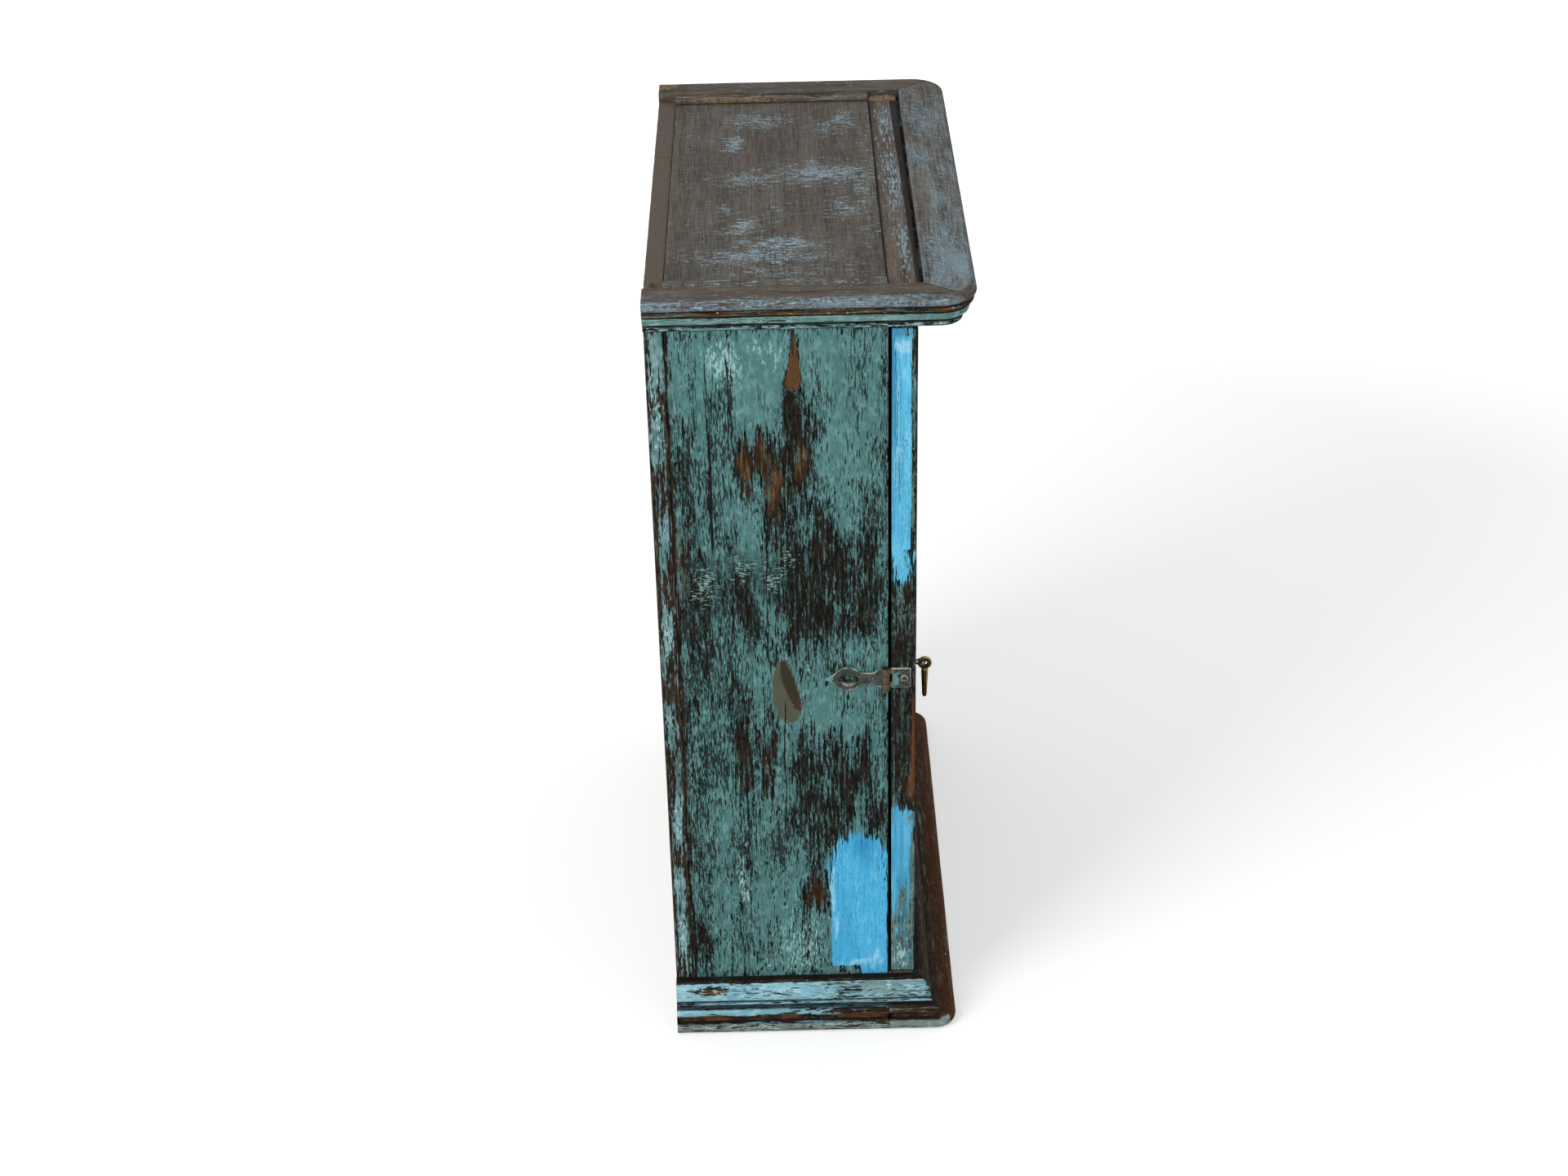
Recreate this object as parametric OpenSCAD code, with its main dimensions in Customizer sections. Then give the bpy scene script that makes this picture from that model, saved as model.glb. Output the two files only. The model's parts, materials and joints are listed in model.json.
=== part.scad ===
// Small painted wall cabinet with one lay-on door.
// A nailed board case stands on a moulded plinth and carries a mitred cornice.
// Millimetres. +Z is up, the door faces -Y, the back lies on +Y, and the origin is
// on the floor under the middle of the whole cabinet.

/* [Case] */
// Width of the case over both side boards
case_w = 475; // [420:1:600]
// Depth of the case, back boards included, door left out
case_d = 197; // [170:1:300]
// Clear height of the case between base and cornice
case_h = 661; // [560:1:900]
// Thickness of the side boards
side_t = 18; // [15:0.5:24]
// Thickness of the back boards
back_t = 16.5; // [10:0.5:20]
// Thickness of the bottom board
bottom_t = 14; // [10:0.5:18]
// Thickness of the top board
top_t = 12; // [9:0.5:16]
// Thickness of the shelves
shelf_t = 12; // [8:0.5:18]
// Distance of the shelf front from the front edge of the case
shelf_inset = 12; // [6:1:40]
// Height of a shelf cleat
cleat_h = 16; // [10:1:24]
// Thickness of a shelf cleat
cleat_t = 11; // [8:1:16]

/* [Base] */
// Height of the whole base
base_h = 51; // [46:1:70]
// Height of the lowest, round-edged board of the base
plinth_h = 13; // [8:0.5:18]
// Overhang of the plinth past each side board
plinth_side_over = 23.5; // [20:0.5:32]
// Overhang of the plinth past the door face
plinth_front_over = 39; // [30:0.5:50]
// Plan radius of the front corners of the plinth
plinth_corner_r = 20; // [10:1:26]
// Height of the scotia moulding that lies on the plinth
scotia_h = 16; // [12:0.5:20]
// Depth of the scotia moulding from the case face to its bead
scotia_w = 23; // [20:0.5:28]
// Depth of the ovolo moulding at its lower edge
ovolo_w = 16.5; // [13:0.5:18]
// Width of the flat fillet on top of the ovolo moulding
fillet_w = 7; // [4:0.5:10]

/* [Cornice] */
// Thickness of the mitred cap boards
cap_t = 9; // [6:0.5:12]
// Overhang of the cap past each side board
cap_side_over = 13.5; // [12:0.5:24]
// Overhang of the cap past the door face
cap_front_over = 47.5; // [44:0.5:60]
// Plan radius of the front corners of the cap
cap_corner_r = 30; // [26:1:34]
// Width of the front cap board
cap_front_w = 42; // [38:0.5:43]
// Height of the bed moulding under the cap
bed_h = 21; // [18:0.5:28]
// Inset of the bed moulding from the cap edge
bed_inset = 2; // [1:0.5:4]
// Depth of the top board below the top of the cap
top_recess = 5; // [3:0.5:7]
// Width of the thin battens beside the side caps
batten_w = 14; // [8:1:20]
// Depth of the rail over the door
top_rail_d = 27; // [26:0.5:28]

/* [Door] */
// Thickness of the door frame
door_t = 21.5; // [18:0.5:26]
// Gap between the case and the back of the door
door_gap = 2.5; // [2.4:0.1:4]
// Play above the door and below it
door_play = 2; // [1:0.5:4]
// Width of the door stiles
stile_w = 62; // [50:1:80]
// Height of the top rail of the door
door_top_h = 62; // [50:1:90]
// Height of the middle rail of the door
door_mid_h = 58; // [40:1:90]
// Height of the bottom rail of the door
door_bottom_h = 76; // [60:1:110]
// Thickness of the tongues in the panel grooves
tongue_t = 6; // [4:0.5:8]
// Depth of the panel grooves
groove_d = 8; // [6:0.5:12]
// Width of the bevel round each raised panel
bevel_w = 26; // [12:1:34]
// Width of the quarter-round beads round the panels
bead_w = 7; // [4:0.5:7.5]

/* [Hinges] */
// Height of a butt hinge
hinge_h = 50; // [36:1:70]
// Distance of the hinges from the ends of the door
hinge_end = 70; // [40:1:120]
// Thickness of the hinge leaves
hinge_leaf_t = 1.1; // [0.8:0.05:1.1]
// Radius of the hinge knuckles
hinge_r = 3; // [2.5:0.1:3.2]
// Diameter of the hinge pins
hinge_pin_d = 2.8; // [2:0.1:3]

/* [Hasp] */
// Height of the middle of the hasp above the floor
hasp_z = 378; // [300:1:420]
// Height of the hasp barrel
hasp_h = 22; // [18:1:30]
// Radius of the hasp barrel
hasp_r = 3.5; // [3:0.1:4]
// Diameter of the hasp pin
hasp_pin_d = 3; // [2:0.1:3.4]
// Thickness of the hasp strap and leaf
hasp_t = 1.5; // [1:0.1:2]
// Length of the strap from the pin to its point
strap_len = 52.5; // [50:0.5:60]
// Distance from the pin to the middle of the staple
staple_at = 32.5; // [31:0.5:34]
// Radius of the round lobe of the strap
lobe_r = 11.8; // [11:0.1:13]
// Diameter of the staple wire
staple_wire = 2.8; // [2:0.1:3]
// Distance between the legs of the staple, centre to centre
staple_span = 11.2; // [10:0.1:12]

/* [Drop pull] */
// Distance of the pull from the left edge of the door
pull_in = 22; // [20:1:40]
// Height of the pull pivot above the floor
pull_z = 379; // [300:1:420]
// Distance of the pivot in front of the door face
pull_out = 8.6; // [7.5:0.1:10]
// Outer radius of the head of the drop
head_r = 6; // [5.5:0.1:6.4]
// Length of the drop from the pivot to its tip
drop_len = 36; // [28:1:50]
// Radius of the stem below the head
stem_r = 2.7; // [2:0.1:2.8]

/* [Hanging] */
// Height of the hanging rail inside the back
hang_rail_h = 60; // [40:1:90]
// Thickness of the hanging rail
hang_rail_t = 18; // [12:1:22]
// Distance between the hanging screw holes
hang_span = 320; // [240:1:360]
// Diameter of the hanging screw holes
hang_hole_d = 6; // [4:0.5:8]

/* [Hidden] */
$fn = 48;

// Clearances
fit = 0.3;
seat = 0.05;
eps = 0.01;
far = 1000;

// Levels, from the floor up
bed_z = base_h + case_h;
cap_z = bed_z + bed_h;
total_h = cap_z + cap_t;
top_z = total_h - top_recess;
scotia_z = plinth_h;
ovolo_z = scotia_z + scotia_h;
door_z = base_h + door_play;
door_h = case_h - 2 * door_play;
bottom_z = base_h - bottom_t;
hang_z = top_z - top_t - hang_rail_h;

// Depths, from the back plane to the front
over_all_d = case_d + door_gap + door_t + cap_front_over;
back_y = over_all_d / 2;
case_y = back_y - case_d;
board_y = back_y - back_t;
door_y = case_y - door_gap;
face_y = door_y - door_t;
cap_y = face_y - cap_front_over;
plinth_y = face_y - plinth_front_over;

// Half widths
out_x = case_w / 2;
in_x = out_x - side_t;
cap_x = out_x + cap_side_over;
plinth_x = out_x + plinth_side_over;

// Shelves divide the clear height into three equal spaces
shelf_gap = (top_z - top_t - base_h - 2 * shelf_t) / 3;
shelf_z = [base_h + shelf_gap, base_h + 2 * shelf_gap + shelf_t];
shelf_y = case_y + shelf_inset;

// Hinge line of the door, at its right front edge
hinge_x = out_x + hinge_r + fit;
hinge_y = case_y - door_gap / 2;
hinge_z = [door_z + hinge_end, door_z + door_h - hinge_end - hinge_h];
leaf_short = 2;
hinge_leaf_w = side_t - leaf_short;
knuckle_gap = fit;

// Hasp pin, just behind the front edge of the left side board
hasp_gap = 0.2;
hasp_x = -out_x - hasp_r - hasp_gap;
hasp_back = 2.2;
hasp_y = case_y + hasp_back;
staple_y = hasp_y + staple_at;
leg_depth = 12;
staple_reach = 5.5;

// Pull
pull_x = -out_x + pull_in;
pull_y = face_y - pull_out;
cotter_wire = 1.8;
head_t = 3;
head_bore_r = 2.6;
loop_r = 4;

// Wood and metal colours
teal = "#4f7f79";
blue = "#4aa3d8";
umber = "#5a4a3e";
grey_blue = "#7d8f98";
iron = "#6b655c";
bronze = "#4e4026";

// A board given by its lowest corner and its highest corner
module board(a, b) {
    translate(a) cube(b - a);
}

// A profile (out, z) run along the right side, from the back towards the front
module side_run(x, y, len) {
    translate([x, y, 0]) rotate([90, 0, 0]) linear_extrude(len) children();
}

// A profile (out, z) run along the front, from right to left
module front_run(y, half) {
    translate([half, y, 0]) rotate([0, 0, -90]) rotate([90, 0, 0])
        linear_extrude(2 * half) children();
}

// A profile (radius, z) turned round a right front corner
module corner_turn(x, y) {
    translate([x, y, 0]) rotate([0, 0, -90]) rotate_extrude(angle = 90) children();
}

// Everything to the right of a mitre that runs from its inner to its outer corner
module mitre_side(inner, outer) {
    run = (outer - inner) * 3;
    linear_extrude(far) polygon([
        inner, inner + run, [far, inner[1] + run[1]], [far, back_y], [inner[0], back_y]]);
}

// Everything in front of the two mitres, cut to the same line
module mitre_front(inner, outer) {
    run = (outer - inner) * 3;
    far_pt = inner + run;
    linear_extrude(far) polygon([
        inner, far_pt, [-far_pt[0], far_pt[1]], [-inner[0], inner[1]]]);
}

// Points of an ellipse quarter from angle a to angle b, measured from the z axis
function sweep(c, r, a, b, n) =
    [for (i = [0:n]) let (t = a + (b - a) * i / n) [c[0] + r[0] * sin(t), c[1] + r[1] * cos(t)]];

// Side boards, housed for the bottom board and rebated for the top board
housing = 6;
rebate_h = cap_z - (top_z - top_t);
module side_board() {
    difference() {
        board([in_x, case_y, 0], [out_x, board_y, cap_z]);
        board([in_x - eps, case_y - eps, bottom_z], [in_x + housing, board_y + eps, base_h]);
        board([in_x - eps, case_y - eps, cap_z - rebate_h],
            [in_x + housing, board_y + eps, cap_z + eps]);
    }
}
module side_right() {
    color(teal) difference() {
        side_board();
        case_screws(eps);
    }
}
module side_left() {
    color(teal) difference() {
        mirror([1, 0, 0]) side_board();
        for (s = [-1, 1])
            translate([-out_x - eps, staple_y + s * staple_span / 2, hasp_z]) rotate([0, 90, 0])
                cylinder(d = staple_wire, h = leg_depth + eps);
    }
}

// Bottom board, with its ends in the housings
module bottom_board() {
    color(umber)
        board([-in_x - housing, case_y, bottom_z], [in_x + housing, board_y, base_h]);
}

// Top board, with rebated ends under the side caps
module top_board() {
    color(umber) {
        board([-in_x - housing, case_y, top_z - top_t], [in_x + housing, board_y, cap_z]);
        board([-in_x, case_y, cap_z - eps], [in_x, board_y, top_z]);
    }
}

module shelf(i) {
    color(umber)
        board([-in_x + fit, shelf_y, shelf_z[i]], [in_x - fit, board_y, shelf_z[i] + shelf_t]);
}
module shelf_lower() {
    shelf(0);
}
module shelf_upper() {
    shelf(1);
}

// A pair of cleats nailed to the side boards under one shelf
module cleats(i) {
    color(umber) for (s = [0, 1]) mirror([s, 0, 0])
        board([in_x - cleat_t, shelf_y + cleat_t, shelf_z[i] - cleat_h],
            [in_x, board_y, shelf_z[i]]);
}
module cleats_lower() {
    cleats(0);
}
module cleats_upper() {
    cleats(1);
}

// Nails of the back boards, in rows at each horizontal board, with their heads let in flush
nail_d = 2.4;
nail_head_r = 3.5;
nail_head_t = 1;
nail_x = [for (i = [0:2], s = [-1, 1]) (i - 1 + s / 3.4) * case_w / 3];
nail_z = [bottom_z + bottom_t / 2, shelf_z[0] + shelf_t / 2, shelf_z[1] + shelf_t / 2];
module nails(over) {
    for (x = nail_x, z = nail_z) translate([x, back_y + over, z]) rotate([90, 0, 0]) {
        cylinder(r = nail_head_r, h = nail_head_t + over);
        cylinder(d = nail_d, h = back_t + over);
    }
}

// Three upright back boards, nailed on behind the case
back_board_w = case_w / 3;
back_drop = 2;
back_top_z = top_z - back_drop;
chip_w = 24;
chip_h = 6;
module back_board(i) {
    color(umber) difference() {
        board([-out_x + i * back_board_w, board_y, 0],
            [-out_x + (i + 1) * back_board_w, back_y, i == 1 ? back_top_z : cap_z]);
        nails(eps);
    }
}
module hang_holes() {
    for (s = [-1, 1])
        translate([s * hang_span / 2, back_y + eps, hang_z + hang_rail_h / 2]) rotate([90, 0, 0])
            cylinder(d = hang_hole_d, h = back_t + hang_rail_t + 2 * eps);
}
module back_board_outer(i, inner_a, inner_b) {
    color(umber) difference() {
        union() {
            back_board(i);
            board([inner_a, board_y, cap_z - eps], [inner_b, back_y, back_top_z]);
        }
        hang_holes();
    }
}
module back_board_left() {
    difference() {
        back_board_outer(0, -in_x, -out_x + back_board_w);
        board([-in_x - eps, board_y - eps, back_top_z - chip_h],
            [-in_x + chip_w, back_y + eps, back_top_z + eps]);
    }
}
module back_board_middle() {
    back_board(1);
}
module back_board_right() {
    back_board_outer(2, out_x - back_board_w, in_x);
}

// Rail inside the back, under the top board, that takes the two hanging screws
module hanging_rail() {
    color(umber) difference() {
        board([-in_x, board_y - hang_rail_t, hang_z], [in_x, board_y, hang_z + hang_rail_h]);
        hang_holes();
    }
}

// Rail over the door, which stands in front of the case under the cornice
module front_top_rail() {
    color(umber) {
        board([-out_x, case_y - top_rail_d, bed_z], [out_x, case_y, cap_z]);
        board([-in_x, case_y - top_rail_d, cap_z - eps], [in_x, case_y, top_z]);
    }
}

// Rail under the door, which fills the base between plinth and door
module front_base_rail() {
    color(umber) board([-out_x, face_y, plinth_h], [out_x, case_y, base_h]);
}

// Thin battens that cover the joint between the top board and the side caps
batten_drop = 0.5;
batten_h = top_recess - batten_drop;
module batten() {
    color(umber) board([in_x - batten_w, case_y, top_z], [in_x, board_y, top_z + batten_h]);
}
module batten_right() {
    batten();
}
module batten_left() {
    mirror([1, 0, 0]) batten();
}

// Cap boards: flat boards with a round nose, mitred at the front corners
cap_in_y = cap_y + cap_front_w;
nose_r = cap_t / 2;
cap_mitre = [[in_x, cap_in_y], [cap_x, cap_y]];
cap_turn_x = cap_x - cap_corner_r;
cap_turn_y = cap_y + cap_corner_r;
module cap_profile(w) {
    translate([0, cap_z]) {
        square([w - nose_r, cap_t]);
        translate([w - nose_r, nose_r]) circle(nose_r);
    }
}
module cap_side() {
    intersection() {
        union() {
            side_run(in_x, back_y, back_y - cap_turn_y) cap_profile(cap_x - in_x);
            corner_turn(cap_turn_x, cap_turn_y) cap_profile(cap_corner_r);
        }
        mitre_side(cap_mitre[0], cap_mitre[1]);
    }
}
module cap_right() {
    color(grey_blue) cap_side();
}
module cap_left() {
    color(grey_blue) mirror([1, 0, 0]) cap_side();
}
module cap_front() {
    color(grey_blue) intersection() {
        union() {
            front_run(cap_in_y, cap_turn_x) cap_profile(cap_front_w);
            for (s = [0, 1]) mirror([s, 0, 0]) {
                corner_turn(cap_turn_x, cap_turn_y) cap_profile(cap_corner_r);
                board([cap_turn_x, cap_turn_y, cap_z], [cap_x, cap_in_y, total_h]);
            }
        }
        mitre_front(cap_mitre[0], cap_mitre[1]);
    }
}

// Bed moulding: bead, cove, slanted band, quirk and a larger bead, from the bottom up
bed_depth = 11.5;
bed_foot = 1.2;
bed_bead_r = 1.75;
bed_top_r = 2.5;
cove_at = [7, 4.2];
cove_r = [4.6, 4];
band_rise = 0.7;
quirk_in = 4;
quirk_rise = 0.72;
bed_rail_y = case_y - top_rail_d;
module bed_profile(w) {
    edge = w - bed_inset;
    foot = edge - bed_depth;
    translate([0, bed_z]) intersection() {
        union() {
            polygon(concat(
                [[0, 0], [foot + bed_foot, 0], [foot + bed_foot, cove_at[1]]],
                sweep([foot + cove_at[0], cove_at[1]], cove_r, -90, 0, 5),
                [[edge - bed_top_r, bed_h * band_rise], [edge - quirk_in, bed_h * quirk_rise],
                [edge - quirk_in, bed_h], [0, bed_h]]));
            translate([foot + bed_foot / 2, bed_bead_r]) circle(bed_bead_r);
            translate([edge - bed_top_r, bed_h - bed_top_r]) circle(bed_top_r);
        }
        square([w, bed_h]);
    }
}
module bed_side() {
    intersection() {
        union() {
            side_run(out_x, back_y, back_y - cap_turn_y) bed_profile(cap_side_over);
            intersection() {
                corner_turn(cap_turn_x, cap_turn_y) bed_profile(cap_corner_r);
                board([out_x, -far, 0], [far, far, far]);
            }
        }
        mitre_side(cap_mitre[0], cap_mitre[1]);
    }
}
module bed_mould_right() {
    color(teal) bed_side();
}
module bed_mould_left() {
    color(teal) mirror([1, 0, 0]) bed_side();
}
module bed_mould_front() {
    color(teal) intersection() {
        union() {
            front_run(bed_rail_y, cap_turn_x) bed_profile(bed_rail_y - cap_y);
            for (s = [0, 1]) mirror([s, 0, 0]) {
                corner_turn(cap_turn_x, cap_turn_y) bed_profile(cap_corner_r);
                board([cap_turn_x - eps, cap_turn_y - eps, bed_z], [out_x, bed_rail_y, cap_z]);
            }
        }
        union() {
            mitre_front(cap_mitre[0], cap_mitre[1]);
            board([-out_x, cap_y, 0], [out_x, bed_rail_y, far]);
        }
    }
}

// Ovolo moulding of the base: flat fillet, quarter ellipse, quirk and thin bead
thin_bead_r = 1.3;
quirk_d = 1.5;
quirk_h = 0.6;
round_lift = 1.4;
fillet_drop = 1.2;
module ovolo_profile() {
    h = base_h - ovolo_z;
    step = ovolo_w - thin_bead_r;
    bead_h = 2 * thin_bead_r;
    round_z = bead_h + round_lift;
    translate([0, ovolo_z]) {
        polygon(concat(
            [[0, 0], [step, 0], [step, bead_h], [step - quirk_d, bead_h + quirk_h]],
            sweep([fillet_w, round_z], [step - fillet_w, h - round_z - fillet_drop], 90, 0, 7),
            [[fillet_w, h], [0, h]]));
        translate([step, thin_bead_r]) circle(thin_bead_r);
    }
}
mitre_reach = 60;
case_corner = [out_x, face_y];
base_mitre = case_corner + [mitre_reach, -mitre_reach];
module ovolo_side() {
    intersection() {
        side_run(out_x, back_y, back_y - face_y + ovolo_w) ovolo_profile();
        mitre_side(case_corner, base_mitre);
    }
}
module ovolo_right() {
    color(teal) ovolo_side();
}
module ovolo_left() {
    color(teal) mirror([1, 0, 0]) ovolo_side();
}
module ovolo_front() {
    color(umber) intersection() {
        front_run(face_y, out_x + ovolo_w) ovolo_profile();
        mitre_front(case_corner, base_mitre);
    }
}

// Scotia moulding: a hollow under a flat edge, butted behind the door line
hollow_d = 5.5;
hollow_top = 8.6;
hollow_out = 1;
scotia_toe = 2;
scotia_slope = 5.5;
module scotia_profile() {
    translate([0, scotia_z]) difference() {
        polygon([[0, 0], [scotia_w - scotia_toe, 0], [scotia_w, hollow_top],
            [scotia_w, scotia_h - scotia_toe], [scotia_w - scotia_slope, scotia_h], [0, scotia_h]]);
        translate([scotia_w + hollow_out, hollow_top / 2])
            scale([hollow_d * 2 / hollow_top, 1]) circle(hollow_top / 2);
    }
}
module scotia_side() {
    side_run(out_x, back_y, case_d) scotia_profile();
}
module scotia_right() {
    color(umber) scotia_side();
}
module scotia_left() {
    color(umber) mirror([1, 0, 0]) scotia_side();
}
module scotia_front() {
    color(umber) {
        intersection() {
            front_run(face_y, out_x + scotia_w) scotia_profile();
            mitre_front(case_corner, base_mitre);
        }
        for (s = [0, 1]) mirror([s, 0, 0]) intersection() {
            side_run(out_x, case_y, case_y - face_y + scotia_w) scotia_profile();
            mitre_side(case_corner, base_mitre);
        }
    }
}

// Plinth: the lowest board, with a half-round edge, in a front piece and two returns
plinth_nose_r = plinth_h / 2;
module plinth_profile(w) {
    square([w - plinth_nose_r, plinth_h]);
    translate([w - plinth_nose_r, plinth_nose_r]) circle(plinth_nose_r);
}
module plinth_side() {
    side_run(out_x, back_y, case_d) plinth_profile(plinth_side_over);
}
module plinth_right() {
    color(umber) plinth_side();
}
module plinth_left() {
    color(umber) mirror([1, 0, 0]) plinth_side();
}
module plinth_front() {
    turn_x = plinth_x - plinth_corner_r;
    turn_y = plinth_y + plinth_corner_r;
    color(umber) {
        front_run(case_y, turn_x) plinth_profile(case_y - plinth_y);
        for (s = [0, 1]) mirror([s, 0, 0]) {
            corner_turn(turn_x, turn_y) plinth_profile(plinth_corner_r);
            side_run(turn_x, case_y, case_y - turn_y) plinth_profile(plinth_corner_r);
        }
    }
}

module back_nails() {
    color(iron) nails(0);
}

// Staple: bent wire whose legs are driven into the left side board
module staple() {
    color(iron) translate([-out_x - staple_reach, staple_y, hasp_z]) {
        rotate([0, 0, 90]) rotate_extrude(angle = 180)
            translate([staple_span / 2, 0]) circle(d = staple_wire);
        for (s = [-1, 1]) translate([0, s * staple_span / 2, 0]) rotate([0, 90, 0])
            cylinder(d = staple_wire, h = staple_reach + leg_depth);
    }
}

// Butt hinges: five knuckles round one pin, case leaf with the 1st, 3rd and 5th
knuckle_n = 5;
knuckle_h = hinge_h / knuckle_n;
module knuckle(i, z) {
    translate([hinge_x, hinge_y, z + i * knuckle_h + knuckle_gap / 2])
        cylinder(r = hinge_r, h = knuckle_h - knuckle_gap);
}
screw_head_d = 5;
screw_d = 2.2;
screw_len = 12;
screw_at = [0.2, 0.8];
module screws(leaf_y, way, over) {
    for (z = hinge_z, s = screw_at)
        translate([out_x - hinge_leaf_w / 2, leaf_y, z + s * hinge_h]) rotate([-90 * way, 0, 0]) {
            translate([0, 0, -over]) cylinder(d = screw_head_d, h = hinge_leaf_t + over);
            cylinder(d = screw_d, h = screw_len);
        }
}
module hinge_leaf(z, leaf_y, odd) {
    plate_x = out_x - fit;
    difference() {
        union() {
            board([out_x - hinge_leaf_w, leaf_y, z], [plate_x, leaf_y + hinge_leaf_t, z + hinge_h]);
            for (i = [0:knuckle_n - 1]) if (i % 2 == odd) {
                knuckle(i, z);
                board([plate_x - eps, leaf_y, z + i * knuckle_h + knuckle_gap / 2],
                    [hinge_x, leaf_y + hinge_leaf_t, z + (i + 1) * knuckle_h - knuckle_gap / 2]);
            }
        }
        translate([hinge_x, hinge_y, z - eps])
            cylinder(d = hinge_pin_d + 2 * seat, h = hinge_h + 2 * eps);
        for (s = screw_at)
            translate([out_x - hinge_leaf_w / 2, leaf_y - eps, z + s * hinge_h])
                rotate([-90, 0, 0]) cylinder(d = screw_head_d, h = hinge_leaf_t + 2 * eps);
    }
}
module case_leaf(i) {
    color(iron) hinge_leaf(hinge_z[i], case_y - hinge_leaf_t, 0);
}
module case_leaf_lower() {
    case_leaf(0);
}
module case_leaf_upper() {
    case_leaf(1);
}
module door_leaf(i) {
    color(iron) hinge_leaf(hinge_z[i], door_y, 1);
}
module door_leaf_lower() {
    door_leaf(0);
}
module door_leaf_upper() {
    door_leaf(1);
}
module case_screws(over) {
    screws(case_y - hinge_leaf_t, 1, over);
}
module door_screws(over) {
    screws(door_y + hinge_leaf_t, -1, over);
}
module case_leaf_screws() {
    color(iron) case_screws(0);
}
module door_leaf_screws() {
    color(iron) door_screws(0);
}
module hinge_pins() {
    head = 1.2;
    head_in = 0.4;
    color(iron) for (z = hinge_z) translate([hinge_x, hinge_y, z]) {
        cylinder(d = hinge_pin_d, h = hinge_h);
        for (h = [-head, hinge_h]) translate([0, 0, h]) cylinder(r = hinge_r - head_in, h = head);
    }
}

// Door frame: grooved stiles and rails with stub tenons in the grooves, pegged from the front
tongue_y = door_y - (door_t + tongue_t) / 2;
mid_share = 0.46;
mid_z = door_z + door_bottom_h + (door_h - door_top_h - door_mid_h - door_bottom_h) * mid_share;
rail_x = out_x - stile_w;
panel_top_z = door_z + door_h - door_top_h;
peg_d = 4.5;
peg_proud = 0.6;
peg_z = [door_z + door_bottom_h / 3, door_z + door_bottom_h * 2 / 3,
    mid_z + door_mid_h / 3, mid_z + door_mid_h * 2 / 3,
    panel_top_z + door_top_h / 3, panel_top_z + door_top_h * 2 / 3];
module pegs() {
    for (s = [-1, 1], z = peg_z)
        translate([s * (rail_x + groove_d / 2), face_y - peg_proud, z]) rotate([-90, 0, 0])
            cylinder(d = peg_d, h = door_t + peg_proud);
}
module groove_x(z0, z1) {
    board([-rail_x - groove_d, tongue_y, z0], [rail_x + groove_d, tongue_y + tongue_t, z1]);
}
module door_stile() {
    difference() {
        board([rail_x, face_y, door_z], [out_x, door_y, door_z + door_h]);
        board([rail_x - eps, tongue_y, door_z - eps],
            [rail_x + groove_d, tongue_y + tongue_t, door_z + door_h + eps]);
        pegs();
    }
}
module door_stile_right() {
    color(blue) difference() {
        door_stile();
        door_screws(eps);
    }
}
module door_stile_left() {
    color(blue) difference() {
        mirror([1, 0, 0]) door_stile();
        translate([pull_x, face_y - eps, pull_z]) rotate([-90, 0, 0])
            cylinder(d = 2 * cotter_wire, h = door_t + 2 * eps);
    }
}
module door_rail(z0, z1, groove_low, groove_high) {
    color(blue) difference() {
        union() {
            board([-rail_x, face_y, z0], [rail_x, door_y, z1]);
            groove_x(z0, z1);
        }
        if (groove_low) groove_x(z0 - eps, z0 + groove_d);
        if (groove_high) groove_x(z1 - groove_d, z1 + eps);
        pegs();
    }
}
module door_rail_bottom() {
    door_rail(door_z, door_z + door_bottom_h, false, true);
}
module door_rail_middle() {
    door_rail(mid_z, mid_z + door_mid_h, true, true);
}
module door_rail_top() {
    door_rail(panel_top_z, door_z + door_h, true, false);
}

// Raised panels: a thin edge in the groove, a flat margin, a bevel and a flat field
panel_play = 0.5;
field_t = 5;
module panel_section(a, b) {
    edge_t = tongue_t - fit;
    margin = groove_d + bead_w;
    polygon([
        [a, 0], [b, 0], [b, edge_t], [b - margin, edge_t],
        [b - margin - bevel_w, tongue_t + field_t], [a + margin + bevel_w, tongue_t + field_t],
        [a + margin, edge_t], [a, edge_t]]);
}
module door_panel(z0, z1) {
    a = -rail_x - groove_d + panel_play;
    low = z0 - groove_d + panel_play;
    high = z1 + groove_d - panel_play;
    color(teal) translate([0, tongue_y + tongue_t - fit / 2, 0]) intersection() {
        translate([0, 0, low]) linear_extrude(high - low) mirror([0, 1]) panel_section(a, -a);
        translate([a, 0, 0]) rotate([90, 0, 90]) linear_extrude(-2 * a)
            mirror([1, 0]) rotate(90) mirror([0, 1]) panel_section(low, high);
    }
}
module door_panel_lower() {
    door_panel(door_z + door_bottom_h, mid_z);
}
module door_panel_upper() {
    door_panel(mid_z + door_mid_h, panel_top_z);
}

// Quarter-round beads planted round a panel; where two cross, their curves meet in a mitre
module bead_section() {
    intersection() {
        square(bead_w);
        circle(bead_w);
    }
}
module bead_bar(len) {
    rotate([0, 90, 0]) rotate([0, 0, 90]) linear_extrude(len) bead_section();
}
module door_beads(z0, z1) {
    y = tongue_y;
    w = 2 * rail_x;
    h = z1 - z0;
    color(blue) {
        translate([-rail_x, y, z0]) mirror([0, 1, 0]) bead_bar(w);
        translate([-rail_x, y, z1]) mirror([0, 0, 1]) mirror([0, 1, 0]) bead_bar(w);
        translate([-rail_x, y, z1]) rotate([0, 90, 0]) mirror([0, 1, 0]) bead_bar(h);
        translate([rail_x, y, z0]) rotate([0, -90, 0]) mirror([0, 1, 0]) bead_bar(h);
    }
}
module door_beads_lower() {
    door_beads(door_z + door_bottom_h, mid_z);
}
module door_beads_upper() {
    door_beads(mid_z + door_mid_h, panel_top_z);
}

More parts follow.
